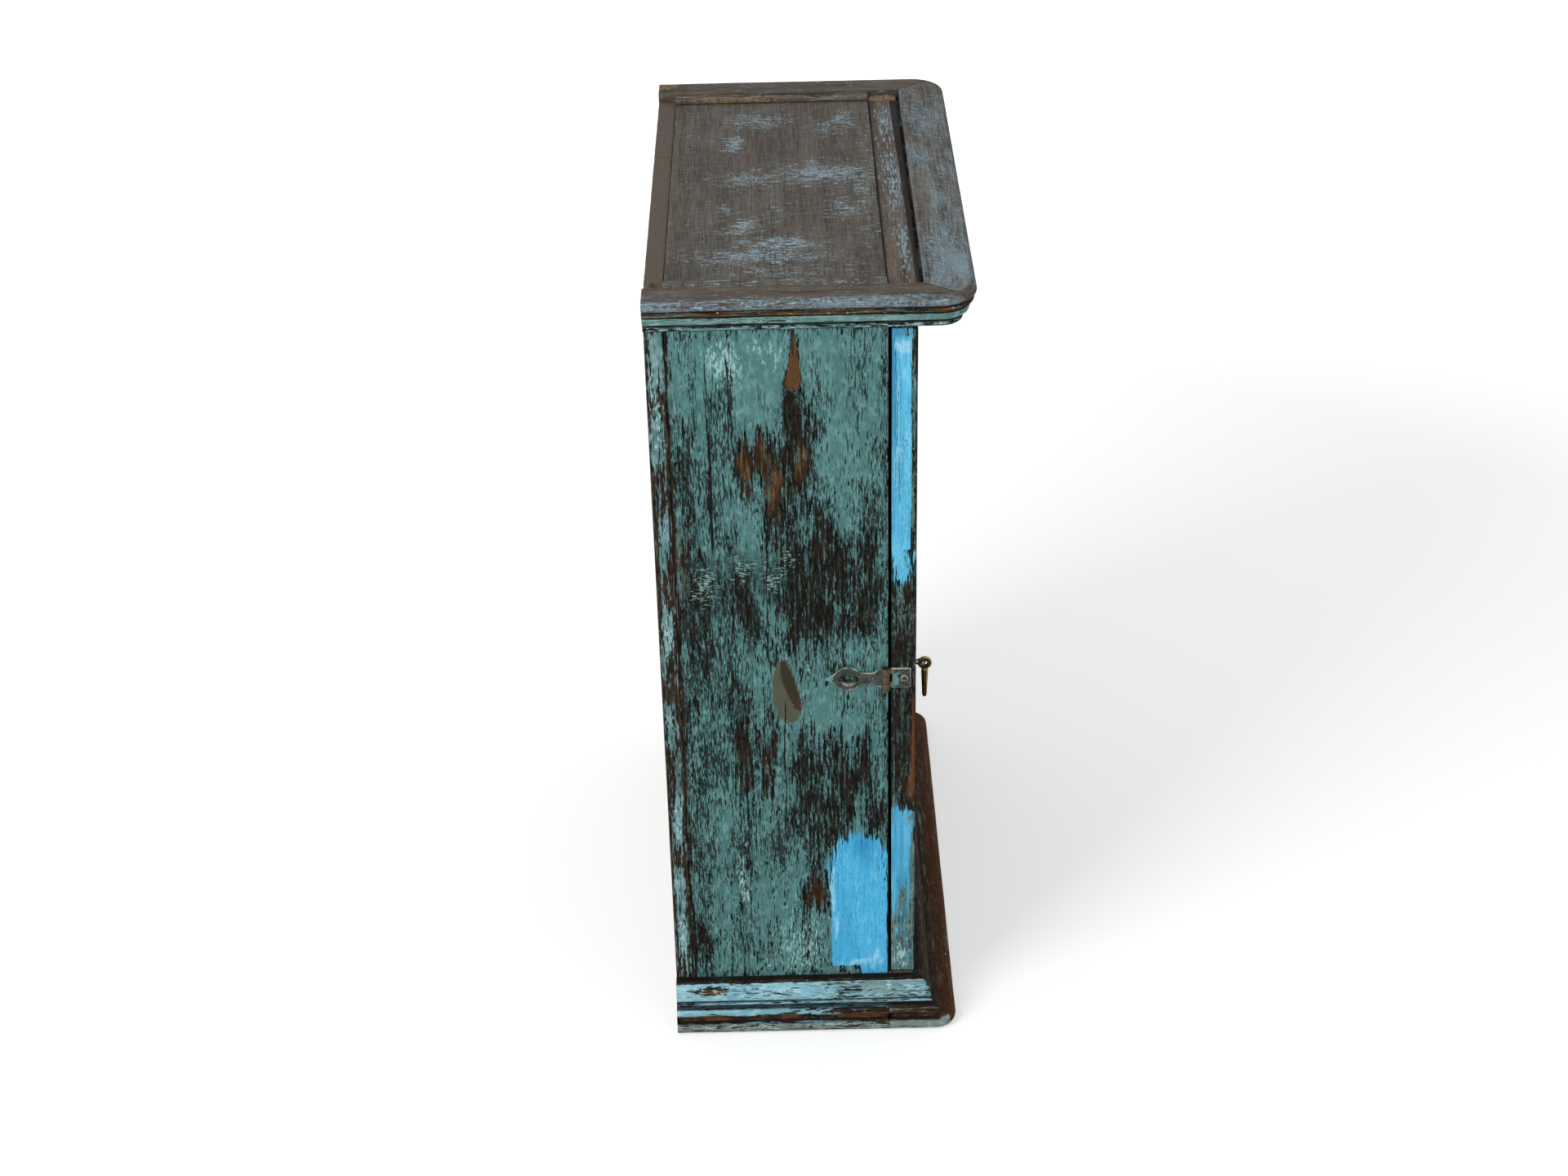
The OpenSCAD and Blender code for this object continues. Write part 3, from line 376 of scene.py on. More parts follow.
SIDE_SPOTS = {
    "worn": [(60, 606, 6, 14, 0.8), (17, 590, 9, 49, 0.9), (41, 605, 7, 19, 0.6), (-44, 603, 9, 6, 0.7),
        (-39, 514, 13, 53, 0.7), (-11, 498, 15, 55, 0.95), (14, 501, 12, 39, 0.9), (69, 523, 7, 11, 0.75),
        (85, 585, 2, 49, 0.7), (67, 659, 2, 32, 0.7), (98, 663, 3, 22, 0.6), (6, 453, 21, 51, 0.95),
        (-23, 471, 9, 23, 0.8), (-36, 428, 7, 16, 0.8), (60, 453, 6, 38, 0.6), (68, 368, 8, 11, 0.6),
        (-19, 390, 12, 9, 0.5), (-43, 344, 9, 6, 0.5), (13, 305, 3, 21, 0.6), (-42, 286, 7, 35, 0.9),
        (-8, 247, 19, 48, 0.95), (-9, 306, 5, 9, 0.7), (-49, 228, 10, 26, 0.8), (-30, 352, 10, 9, 0.7),
        (-22, 402, 9, 6, 0.6), (-13, 218, 8, 12, 1), (-44, 222, 4, 7, 0.8), (1, 184, 11, 22, 0.6),
        # (27, 711): a line of bare wood across the board right under the bed moulding, painted shade.
        (111, 84, 10, 23, 0.6), (46, 96, 9, 18, 0.3), (30, 57, 95, 1.2, 0.9), (27, 711, 100, 2, 0.6),
        (30, 540, 16, 40, 0.45), (58, 350, 10, 60, 0.4), (38, 330, 6, 50, 0.55), (22, 255, 5, 60, 0.5),
        (96, 510, 12, 40, 0.45), (-10, 468, 26, 62, 0.95), (12, 520, 14, 50, 0.8), (-34, 440, 16, 40, 0.8),
        (-42, 500, 12, 60, 0.55), (-22, 285, 16, 34, 0.95), (-3, 256, 22, 44, 0.95), (56, 600, 10, 26, 0.55),
        (8, 610, 11, 40, 0.85), (92, 455, 18, 26, 0.55), (58, 290, 12, 60, 0.6), (2, 160, 14, 30, 0.6),
        (35, 400, 8, 40, 0.45)],
    "fresh": [(55, 585, 7, 20, 1), (43, 597, 7, 21, 0.95), (33, 566, 7, 26, 1.2), (9, 589, 5, 22, 1),
        (63, 288, 5, 36, 0.6), (43, 286, 6, 43, 0.6), (2, 145, 9, 23, 0.7), (-6, 97, 3, 10, 0.7)],
    "thin": [(16, 635, 8, 20, 1), (-36, 667, 16, 30, 0.5), (90, 560, 26, 60, 0.8), (78, 645, 10, 25, 0.8),
        (53, 438, 8, 38, 0.8), (92, 371, 29, 89, 0.8), (-56, 500, 7, 200, 0.6), (56, 194, 43, 35, 0.6),
        (96, 300, 20, 160, 0.8)],
    "pale": [(71, 683, 15, 20, 1), (35, 694, 16, 8, 0.8), (73, 625, 4, 8, 0.5), (6, 382, 3, 7, 0.9),
        (70, 175, 4, 26, 0.9), (67, 145, 5, 10, 1), (17, 86, 23, 28, 0.75), (52, 63, 7, 5, 0.8),
        (20, 116, 26, 18, 0.35)],
    "kept": [(-37, 403, 24, 13, 0.7), (-24, 348, 35, 23, 0.45), (-5, 632, 10, 65, 0.4),
        (44, 662, 20, 36, 0.8), (-57, 589, 6, 111, 0.4), (-54, 289, 6, 35, 0.4), (-20, 685, 30, 26, 0.8),
        (-40, 560, 14, 46, 0.6), (78, 655, 30, 44, 0.5), (50, 215, 30, 40, 0.4), (92, 250, 22, 70, 0.5),
        (-28, 664, 22, 36, 0.3), (-38, 650, 22, 60, 0.45), (-45, 400, 16, 20, 0.3), (60, 390, 30, 30, 0.5),
        (30, 190, 26, 40, 0.4), (76, 555, 26, 60, 0.6), (-30, 600, 26, 60, 0.45), (20, 690, 60, 22, 0.5)],
    "craze": [(92, 470, 14, 24, 1), (62, 488, 12, 16, 1), (36, 482, 12, 16, 1), (20, 500, 10, 14, 1)],
    # lit: painted highlights along the blue daub's soft left edge and its foot.
    "lit": [(-13, 150, 2.5, 26, 1), (-15, 118, 4, 14, 0.9), (-34, 64, 24, 3, 1), (-52, 72, 7, 8, 0.8),
        (-14, 196, 4, 6, 0.6)],
    "rust": [(116, 560, 2.2, 160, 0.55), (116, 300, 2, 120, 0.5), (112, 500, 6, 46, 0.6)],
}
SIDE_CRACKS = [(84.6, 500, 618, 1.5, 5), (85.4, 588, 694, 0.8, 6), (68.2, 600, 694, 0.9, 7),
               (40, 380, 560, 0.9, 9), (28, 226, 360, 1, 6), (-24, 330, 520, 0.9, 9), (62, 110, 310, 0.8, 8),
               (-46, 240, 340, 0.9, 5), (98, 150, 330, 0.8, 9), (14, 400, 500, 1.1, 7)]
TEARDROP = [(13, 708), (10.8, 699), (10.5, 691), (9.8, 684), (8.8, 676), (8.1, 668), (8.5, 663), (11.3, 658),
            (15.3, 654.5), (19.2, 657.4), (21.3, 662.5), (20.6, 668.6), (19.1, 676), (17.5, 684),
            (16.8, 691.6), (16.1, 699), (15, 708)]
LENS = [(30.3, 398.8), (37, 388), (38.6, 376.6), (38.4, 360), (36.1, 346.2), (31, 336), (25.3, 330.6),
        (17, 334), (11.5, 343.7), (12.5, 358), (16.5, 376), (20, 390), (24, 397.7)]
LENS_HEART = [(30, 396), (31, 388), (29, 374), (24, 358), (17, 346), (12.4, 346), (13, 358), (17, 376),
              (24, 395)]

side_paint = painted_wood(
    "side paint", 2, wear=0.22, grime=0.95, rub="#9ac3c2", seed=2.0, craze=True, cracks=SIDE_CRACKS,
    cloudy=0.85, most=0.68,
    stains=(("olive", "#504c3a"), ("heart", "#2f281b"), ("rust", "#4a2f1b"), ("ember", "#5f4128")))
for node, side in (("side_left", -1), ("side_right", 1)):
    low, high = corners(node)
    points, quads, arris = worn_box(low, high, 2, step=1.7 if side < 0 else 3, length=4 if side < 0 else 9,
                                    seed=11 + side, arris=1.4)
    y, z = points[:, 1], points[:, 2]
    face = (points[:, 0] * side > max(high[0], -low[0]) - 2.5) * 1.0
    marks = {"arris": np.where(y < low[1] + 4, np.maximum(arris, 3.4), arris)}
    moved = y + 3 * grained(points, 2, 6, 22, 51) + 1.5 * grained(points, 2, 3, 9, 53)
    risen = z + 11 * grained(points, 2, 5, 60, 52) + 9 * grained(points, 2, 2.2, 90, 57)
    if side < 0:
        add_spots(marks, moved, risen, face, SIDE_SPOTS)
        arch = np.where(z > 150, 0.03 * (y + 37) ** 2, 0)
        marks["blue"] = face * np.maximum(daub(y, z + arch, (-61.6, 59.5), (-10.5, 210), 5, side=1.6, top=17),
                                          daub(y, z, (-62.7, 50), (-37, 63), 2))
        marks["deep"] = face * np.clip(0.1 + 0.6 * rough(points / [9, 22, 34], 54)
                                       + 0.7 * spot(y, z, (-40, 196), (9, 16)), 0, 1)
        drop = inside(y, z, TEARDROP, 0.8)
        wavy = y + 1.6 * grained(points, 2, 3, 14, 58) + 0.8 * grained(points, 2, 2, 6, 59)
        lens = inside(wavy, z, LENS, 1.6)
        marks["fresh"] = np.maximum(marks["fresh"], face * drop)
        marks["worn"] = np.maximum(marks["worn"] * (1 - lens), face * drop)
        marks["kept"] = marks["kept"] + 0.8 * face * lens
        marks["olive"] = 1.1 * face * lens
        marks["heart"] = 1.2 * face * inside(wavy, z, LENS_HEART, 1.4)
        marks["rust"] = np.maximum(marks["rust"], 0.7 * marks["heart"] * spot(y, z, (16, 348), (10, 12)))
        marks["ember"] = face * np.maximum(drop * ramp(z, 700, 682), 0.8 * spot(moved, z, (29, 572), (3, 16)))
    else:
        add_spots(marks, moved, risen, face, {
            "worn": [(20, 560, 16, 60, 0.8), (-30, 420, 12, 70, 0.9), (70, 300, 18, 50, 0.7),
                     (-40, 200, 14, 60, 0.8)],
            "fresh": [(-20, 430, 5, 22, 0.8)],
            "thin": [(60, 480, 30, 120, 0.8)],
            "kept": [(40, 140, 40, 50, 0.7)],
            "pale": [(60, 640, 22, 16, 0.8), (30, 90, 20, 22, 0.7)]})
    make_piece("worn_" + node, points, quads, side_paint, node, marks)


# Bottom board, shelves and their cleats
# Plain boards inside the case, never painted: brown, dusty wood with open grain. The bottom board
# sits in grooves of the sides, and each shelf lies loose on two cleats nailed to them.
def old_wood(name, along, tones, seed, dust=0.35, smear="#93acb8", film="#8fb1c2", rub=None, banded=0.55,
             flow=False):
    """Unpainted wood: fine fibres on broad bands of the grain, with dust, smears and a thin film of paint."""
    made = Finish(name, along, flow)
    mark, plus, times, about, lay, grain = made.mark, made.plus, made.times, made.about, made.lay, made.grain
    fibre, band = grain(0.8, 34, seed + 1), grain(7, 170, seed + 2, warp=0.4)
    cloud, pore = grain(34, 90, seed + 3, 4), grain(0.7, 7, seed + 4, 1)
    speck = grain(2.2, 3.6, seed + 5, 4, 0.7)
    rubbed, scratch = grain(1.2, 15, seed + 6, 5, 0.68, 0.3, rub), grain(0.5, 22, seed + 7, 2, way=rub)
    mix = plus(fibre, 1 - banded, times(band, banded))
    look = lay(tones[0], tones[1], mix, 0.38, 0.56)
    look = lay(look, tones[2], mix, 0.5, 0.66, 0.7)
    look = lay(look, tones[0], pore, 0.6, 0.7, 0.6)
    film_on = about(fibre, 1.4, about(speck, 2.2, about(cloud, 2.0, mark("film"))))
    look = lay(look, film, film_on, 0.3, 1.3, 0.8)
    look = lay(look, "#6a625a", cloud, 0.42, 0.7, dust)
    look = lay(look, smear, scratch, 0.58, 0.72, 0.3)
    look = lay(look, tones[0], speck, 0.6, 0.7, 0.45)
    look = lay(look, smear, about(speck, 3.0, about(rubbed, 6.0, mark("pale"))), 0.7, 1.3, 0.95)
    # Soil and shade: darker where the mesh's mark says so, for dirt and for painted shade beside raised
    # strips and under the cap's nose.
    look = lay(look, "#120e0b", about(speck, 1.0, mark("soil_and_shade")), 0.2, 0.8, 0.9)
    bark = lay("#83705a", "#4a3d31", speck, 0.4, 0.65)
    look = lay(look, bark, about(fibre, 1.0, mark("raw")), 0.3, 0.6)
    height = plus(speck, 0.25, plus(fibre, 0.5, times(pore, -0.4)))
    return made.done(look, plus(speck, 0.25, 0.62), height, 0.35)


def board(node, along, finish, prefix="plain_", half=None, shape=None, marks=None, **wear):
    """Board with worn arrises in the box of a solid, or in the part of it that reaches `half` each way
    along x, with an optional change of shape."""
    ends = corners(node)
    if half:
        ends[:, 0] = -half, half
    points, quads, arris = worn_box(*ends, along, **wear)
    found = {"arris": arris, **(marks(points) if marks else {})}
    make_piece(prefix + node, shape(points) if shape else points, quads, finish, node, found)


INNER_TONES = ("#2b2019", "#57432f", "#7a6247")
inner_x = old_wood("inside wood, along x", 0, INNER_TONES, 11)
inner_y = old_wood("inside wood, along y", 1, INNER_TONES, 12)
side_in = corners("side_right")[0][0]
board("bottom_board", 0, inner_x, half=side_in, step=9, length=20, seed=21)
board("shelf_lower", 0, inner_x, step=9, length=20, seed=22)
board("shelf_upper", 0, inner_x, step=9, length=20, seed=23)
cleat_w = 11
for node, seed in (("cleats_lower", 24), ("cleats_upper", 25)):
    low, high = corners(node)
    (left, quads, arris), (right, _, _) = [
        worn_box((x, *low[1:]), (x + cleat_w, *high[1:]), 1, step=4, length=14, seed=seed)
        for x in (low[0], high[0] - cleat_w)]
    points, quads = np.concatenate([left, right]), np.concatenate([quads, quads + len(left)])
    make_piece("plain_" + node, points, quads, inner_y, node, {"arris": np.tile(arris, 2)})


# Top board and hanging rail
# The top is one thin board of brown wood let in between the sides, with blue-grey paint left in
# smears across it. The rail under it, inside the back, takes the two screws that hang the cabinet.
TOP_TONES = ("#3b342d", "#585149", "#68635a")
TOP_SPOTS = {
    "pale": [(158, 41, 18, 27, 0.8), (139, -23, 21, 15, 0.6), (102, 63, 18, 8, 1), (159, -40, 25, 10, 0.7),
        (27, -19, 24, 39, 1), (16, 47, 19, 28, 0.8), (-4, -50, 33, 9, 0.7), (-53, 70, 10, 7, 0.7),
        (-63, 27, 21, 9, 0.5), (-54, -32, 18, 12, 0.8), (-83, 51, 11, 13, 1), (-99, 62, 5, 24, 0.9),
        (-125, 22, 12, 36, 0.95), (-151, 41, 13, 58, 0.85), (-182, 22, 13, 41, 0.55),
        (38, -56, 126, 5, 0.45), (-101, -55, 38, 8, 0.4), (-176, -37, 24, 6, 0.5)],
}
top_wood = old_wood("top wood", 0, TOP_TONES, 31, rub=1, banded=0.3)


def top_marks(points):
    """Smears on the upper face, and dust and painted shade along the foot of the battens."""
    x, y, z = points.T
    marks, face = {}, (z > 734.5) * 1.0
    across, deep = x + 7 * grained(points, 0, 9, 9, 54), y + 5 * grained(points, 1, 5, 24, 55)
    add_spots(marks, across, deep, face, TOP_SPOTS)
    # A dark band at the foot of each batten's inner edge: dust and painted shade.
    marks["soil_and_shade"] = 0.55 * face * np.exp(-(np.minimum(side_in - 14 - np.abs(x), 60) / 5) ** 2)
    return marks


board("top_board", 0, top_wood, "worn_", half=side_in, marks=top_marks, step=2.5, length=4, dent=0.5, seed=32)
board("hanging_rail", 0, inner_x, step=8, length=18, seed=33)


# Back boards and their nails
# Three upright boards nailed on the back of the sides, shelves and rail. The near one shows its
# edge beside the painted side, with pale blue left on it in streaks, and its top corner is chipped.
back_wood = painted_wood(
    "back board", 2, coat=("#4f7473", "#779fa2", "#a3cace"), wood=("#1d1611", "#4a3c31", "#6c5d4f"),
    wear=0.78, edge=0.3, seed=41, stains=(("weathered", "#4c4137"), ("bleached", "#62584d")))
case_top = corners("side_left")[1][2]
back_high_y = corners("back_board_left")[1][1]


def back_shape(side):
    """Top edge: lower outside the sides, where the cap lies on it, and knocked down at the left's chip."""
    def shape(points):
        x, y, z = points.T
        top = np.where(x * side > side_in, case_top, 735.0)
        if side < 0:
            top = np.where((-x < side_in) & (-x > side_in - 24 - 2 * rough(points / 4, 42)), 729.0, top)
        return join(x, y, z + ramp(z, 715, 735) * (top - 735.0))
    return shape


def back_marks(points):
    """Streaks of pale paint down the near edge strip."""
    x, y, z = points.T
    # The top faces are bleached wood, except in the chip below the left batten's end, which is left dark as
    # painted shade.
    marks = {"bleached": 1.2 * ramp(z, 726, 729) - spot(x, y, (-211, 126), (10, 12)),
             "weathered": ramp(y, back_high_y - 1.2, back_high_y - 0.4) * (z < 733) * (
                 0.95 + 0.5 * rough(points / [60, 99, 160], 40) + 0.3 * grained(points, 2, 6, 50, 39))}
    add_spots(marks, y + 2 * grained(points, 2, 3, 30, 43), z, (x < -235.3) * 1.0, {
        "kept": [(126, 687, 9, 26, 1.0), (127, 613, 7, 24, 1.0), (127, 424, 8, 30, 1.0),
                 (125, 226, 7, 34, 0.9), (127, 96, 7, 40, 0.9), (124, 520, 5, 40, 0.8),
                 (127, 330, 6, 24, 0.8), (128, 160, 5, 26, 0.8)],
        "pale": [(127, 640, 5, 40, 0.75), (127, 424, 5, 24, 0.75), (126, 226, 5, 24, 0.7),
                 (127, 96, 5, 24, 0.7)]})
    marks["kept"] = marks["kept"] * 1.25
    return marks


for node, seed, shape, step, length in (("back_board_left", 44, back_shape(-1), 2.2, 5),
                                        ("back_board_middle", 45, None, 6, 12),
                                        ("back_board_right", 46, back_shape(1), 6, 12)):
    board(node, 2, back_wood, "worn_", shape=shape, marks=back_marks, step=step, length=length, dent=0.5,
          seed=seed)


# Front rails
# A deep rail over the door carries the cornice, and its top shows between the top board and the
# cap. A second rail under the door fills the base. Both are brown wood with traces of blue.
rail_wood = old_wood("rail wood", 0, ("#33291f", "#5c5045", "#6f6357"), 51, film="#7d94a0")


def top_rail_shape(points):
    """Its upper face steps down outside the sides, where the cap's corner lies on it, and is torn at the
    far end."""
    x, y, z = points.T
    lift = ramp(z, 722, 737)
    tear = spot(x, y, (211, -76), (8, 13))
    lowered = join(x, y, z - lift * np.where(np.abs(x) > side_in, 4.0, 0.0))
    return lowered + join(0, 0, lift ** 4 * tear * (1.5 + 1.5 * rough(lowered / [3, 5, 9], 57)))


def top_rail_marks(points):
    """Blue along the front half of its top, brown where the paint has gone."""
    x, y, z = points.T
    marks, face = {}, (z > 734.5) * 1.0
    add_spots(marks, x, y + 1.5 * grained(points, 0, 4, 30, 56), face, {
        "film": [(142, -76, 58, 9, 0.4), (8, -77, 90, 7, 0.5), (-129, -80, 69, 5, 0.6)],
        "pale": [(8, -77, 77, 8, 0.8), (142, -77, 50, 9, 0.7), (-130, -79, 60, 6, 0.8)],
        "raw": [(211, -76, 8, 13, 1.3)]})
    # A dark line at the back edge, where the rail meets the top board, and a band of painted shade along the
    # front edge beside the higher cap.
    marks["soil_and_shade"] = face * np.maximum(np.exp(-((y + 63) / 1.6) ** 2),
                                      np.clip((-83.2 - y + 0.01 * x) / 2.2, 0, 1.2))
    return marks


board("front_top_rail", 0, rail_wood, "worn_", shape=top_rail_shape, marks=top_rail_marks, step=2, length=5,
      seed=52)
board("front_base_rail", 0, rail_wood, "worn_", step=5, length=12, seed=53)


# Battens
# Two thin strips nailed over the joints between the top board and the side caps. The near one is
# whole; the far one is torn, cracked and shows raw tan wood at its ends.
batten_wood = old_wood("batten wood", 0, TOP_TONES, 61, rub=1, film="#7d94a0")
batten_raw = old_wood("torn batten wood", 1, ("#3a322b", "#6a6057", "#8a8078"), 62, smear="#a09a95")


def torn(points):
    """The far strip is broken down in places: its top drops by a rough amount that grows at its ends."""
    x, y, z = points.T
    lift = ramp(z, 738, 741)
    gone = np.clip(0.35 + 0.9 * rough(points / [60, 17, 60], 63) + 0.35 * rough(points / 5, 64), 0, 1)
    dropped = join(x, y, z - lift * gone * 2.6)
    return dropped + join(lift * 1.2 * rough(dropped / [50, 6, 50], 65), 0, 0)


def torn_marks(points):
    """Tan torn fibres along its inner edge, dark dirt along the crack and in the breaks across it."""
    x = points[:, 0]
    raw = np.clip(rough(points / [40, 30, 40], 60) + 0.2, 0, 1) * (x < 209)
    crack = np.exp(-((x - 214 - 2.5 * rough(points / [90, 22, 90], 66)) / 1.1) ** 2)
    return {"raw": 0.9 * raw, "soil_and_shade": np.maximum(0.9 * crack, 0.8 * (rough(points / [40, 4, 40], 67) > 0.55)),
            "pale": 0.5 * (rough(points / [9, 5, 9], 59) > 0)}


board("batten_left", 1, batten_wood, "worn_", step=1.6, length=5, arris=0.7, dent=0.35, seed=68,
      marks=lambda points: {"pale": 0.35 * np.ones(len(points))})
board("batten_right", 1, batten_raw, "torn_", shape=torn, marks=torn_marks, step=1.2, length=2.5, arris=0.6,
      dent=0.4, seed=69)


# Cap boards
# Flat boards with a half-round nose on the front and sides, mitred at the front corners and nailed
# down. Blue-grey paint is rubbed down to brown wood, most of all along the inner edges.
def soften(outline, radius, step):
    """Closed outline with its corners cut back by `radius` on a curve, (a + b) / 4 + corner / 2 at its
    middle, and its long sides divided."""
    corner = np.array(outline, float)
    ways = [np.roll(corner, shift, axis=0) - corner for shift in (1, -1)]
    cut = [corner + way * np.minimum(radius / np.linalg.norm(way, axis=1), 0.45)[:, None] for way in ways]
    ring = np.stack([cut[0], (cut[0] + cut[1]) / 4 + corner / 2, cut[1]], 1).reshape(-1, 2)
    side = np.roll(ring, -1, axis=0) - ring
    parts = np.maximum(1, np.round(np.linalg.norm(side, axis=1) / step)).astype(int)
    start = np.repeat(np.arange(len(ring)), parts)
    share = np.arange(len(start)) - np.repeat(np.cumsum(parts) - parts, parts)
    return ring[start] + side[start] * (share / parts[start])[:, None]


def bow(middle, radii, start, end, count):
    """Part of an ellipse, from one angle in degrees to the other."""
    angle = np.radians(np.linspace(start, end, count))
    return np.stack([middle[0] + radii[0] * np.cos(angle), middle[1] + radii[1] * np.sin(angle)], 1)


def skin(rings, ended=True):
    """Points and faces of closed rings joined along a path: a face over each end, or for a loop none."""
    count, size = rings.shape[:2]
    index = np.arange(count * size).reshape(count, size)
    quads = weave(np.pad(index, ((0, 0 if ended else 1), (0, 1)), "wrap")).tolist()
    return rings.reshape(-1, 3), quads + ([index[0], index[-1, ::-1]] if ended else [])


def carry(name, rings, finish, node, marks, along=1, dent=0.35, seed=1):
    """Closed profile carried along a path: rings[i, j] is its point j at place i. Each point moves in along
    the surface's normal, the cross product of both ways on the grid, by a rough amount. Its flow is its way
    round the profile and along the path."""
    normal = np.cross(np.gradient(rings, axis=0), np.roll(rings, -1, axis=1) - np.roll(rings, 1, axis=1))
    normal /= np.maximum(np.linalg.norm(normal, axis=2, keepdims=True), 1e-9)
    normal *= np.sign(((rings - rings.mean(axis=1, keepdims=True)) * normal).sum())
    flat, faces = skin(rings)
    dip = 0.5 + 0.35 * grained(flat, along, 7, 40, seed) + 0.15 * grained(flat, along, 2, 14, seed + 1)
    run = np.cumsum(np.linalg.norm(np.diff(rings, axis=0, prepend=rings[:1]), axis=2), axis=0)
    round_it = np.cumsum(np.linalg.norm(rings[0] - np.roll(rings[0], 1, axis=0), axis=1))
    flow = join(round_it, run, 57.0 * seed).reshape(-1, 3) / 1000
    make_piece(name, flat - normal.reshape(-1, 3) * dent * dip[:, None], faces, finish, node,
               {**marks(flat), "arris": np.full(len(flat), 9.0), "flow": flow})


BACK_Y = corners("cap_left")[1][1]
TURN = np.array([221.0, -104.25])
MITRE_IN, MITRE_OUT = np.array([side_in, -92.25]), np.array([251.0, -134.25])
CURVE_R, CASE_R = 7.5, 16.5


def turn_of(radius, case_stop):
    """Angle round the corner at which a point meets the mitre: arccos(6 / R) - 36.87 degrees, or the case."""
    radius = np.maximum(radius, CURVE_R)
    turn = np.arccos(6 / radius) - np.arccos(0.8)
    return np.minimum(turn, np.arccos(np.minimum(CASE_R / radius, 1))) if case_stop else turn


def side_cornice(profile, count, side, case_stop):
    """Profile (x, z) from the back along y, then round the corner about TURN by the angle at which
    R cos(angle + 36.87 deg) = 6 puts it on the mitre, or short of it where it meets the case."""
    x, z = profile.T
    radius = x - TURN[0]
    curved = radius > CURVE_R
    turn = np.where(curved, turn_of(radius, case_stop), 0)
    mitre_y = MITRE_IN[1] + (x - MITRE_IN[0]) * (MITRE_OUT[1] - MITRE_IN[1]) / (MITRE_OUT[0] - MITRE_IN[0])
    run = BACK_Y - np.where(curved, TURN[1], mitre_y)
    along = np.linspace(0, 1, count)[:, None] * (run + turn * np.maximum(radius, 0))
    angle = np.maximum(along - run, 0) / np.maximum(radius, 1)
    return join(side * np.where(curved, TURN[0] + radius * np.cos(angle), x),
                np.where(curved & (along > run), TURN[1] - radius * np.sin(angle), BACK_Y - along), z)


def front_cornice(profile, count, corner, case_stop):
    """Profile (y, z) from the middle along x, then round the corner down to the mitre angle. Points inside
    the corner's curve run straight to a place between `corner` and the start of the curve's mitre."""
    y, z = profile.T
    radius = TURN[1] - y
    first = CASE_R if case_stop else CURVE_R
    curved = radius > first
    share = ramp(radius, radius.min(), first)
    end_x = corner[0] + share * (TURN[0] + first - corner[0])
    end_y = corner[1] + share * (TURN[1] - corner[1])
    bend = np.where(curved, TURN[0], TURN[0] - 9)
    leg = np.hypot(end_x - bend, end_y - y)
    sweep = (np.pi / 2 - turn_of(radius, case_stop)) * radius
    along = np.linspace(0, 1, count)[:, None] * (bend + np.where(curved, sweep, leg))
    past = np.maximum(along - bend, 0)
    angle, t = np.pi / 2 - past / np.maximum(radius, 1), past / leg
    turned_x = np.where(curved, TURN[0] + radius * np.cos(angle), bend + (end_x - bend) * t)
    turned_y = np.where(curved, TURN[1] - radius * np.sin(angle), y + (end_y - y) * t)
    half = join(np.where(along < bend, along, turned_x), np.where(along < bend, y, turned_y), z)
    return np.concatenate([half[:0:-1] * [-1, 1, 1], half])


def cap_outline(inner, outer):
    """Flat board from inner to outer with a half-round nose: a half circle of half its thickness."""
    low, high = corners("cap_left")[:, 2]
    nose, way = (high - low) / 2, np.sign(outer - inner)
    arc = bow((0, 0), (nose, nose), -90, 90, 11) * [way, 1] + [outer - way * nose, low + nose]
    return soften(np.concatenate([[(inner, low)], arc, [(inner, high)]]), 0.6, 1.5)


cap_side_wood = old_wood("side cap", 1, ("#3a322a", "#584f45", "#685f56"), 71, film="#7f9cab", dust=0.25,
                         flow=True, banded=0.4)
cap_front_wood = old_wood("front cap", 1, ("#403b35", "#625d57", "#75736f"), 72, film="#7f9ba9", dust=0.25,
                          rub=0, flow=True, banded=0.4)


def cap_side_marks(flat):
    """Blue film on the outer edge and nose, painted shade in the joint under it."""
    x, y, z = flat.T
    outer = np.abs(x) - 239 - 6 * rough(flat / [9, 40, 9], 73) - 3 * rough(flat / [3, 9, 9], 79)
    outer = ramp(outer, 0, 7) * np.where(x < 0, 1, 0.35)
    # The dark line at z 732.6 is painted shade in the joint under the cap's nose.
    return {"film": 0.75 * outer, "pale": 0.45 * outer, "soil_and_shade": 0.9 * np.exp(-((z - 732.6) / 0.9) ** 2),
            "raw": 1.6 * (x > 0) * spot(x, y, (247, 128), (13, 11), 2)}


def cap_front_marks(flat):
    """Blue-grey over most of the top, brown at the corners and the inner edge."""
    x, y, z = flat.T
    film = 0.6
    for x0, y0, rx, ry, strength in ((127, -113, 57, 21, 0.75), (50, -113, 24, 21, 0.6),
                                     (-40, -110, 64, 17, 0.45), (-141, -111, 88, 22, 0.8),
                                     (-189, -124, 54, 13, 0.95)):
        film = np.maximum(film, strength * spot(x, y, (x0, y0), (rx, ry)))
    for x0, y0, rx, ry in ((221, -115, 31, 20), (-45, -98, 58, 8), (-244, -128, 12, 12)):
        film = film * (1 - 0.9 * spot(x, y, (x0, y0), (rx, ry)))
    # The dark line at z 732.6 is painted shade in the joint under the cap's nose.
    return {"film": film, "pale": 0.35 * film, "raw": 0.5 * np.exp(-((z - 736) / 2.5) ** 2) * (y < -131),
            "soil_and_shade": 0.9 * np.exp(-((z - 732.6) / 0.9) ** 2)}


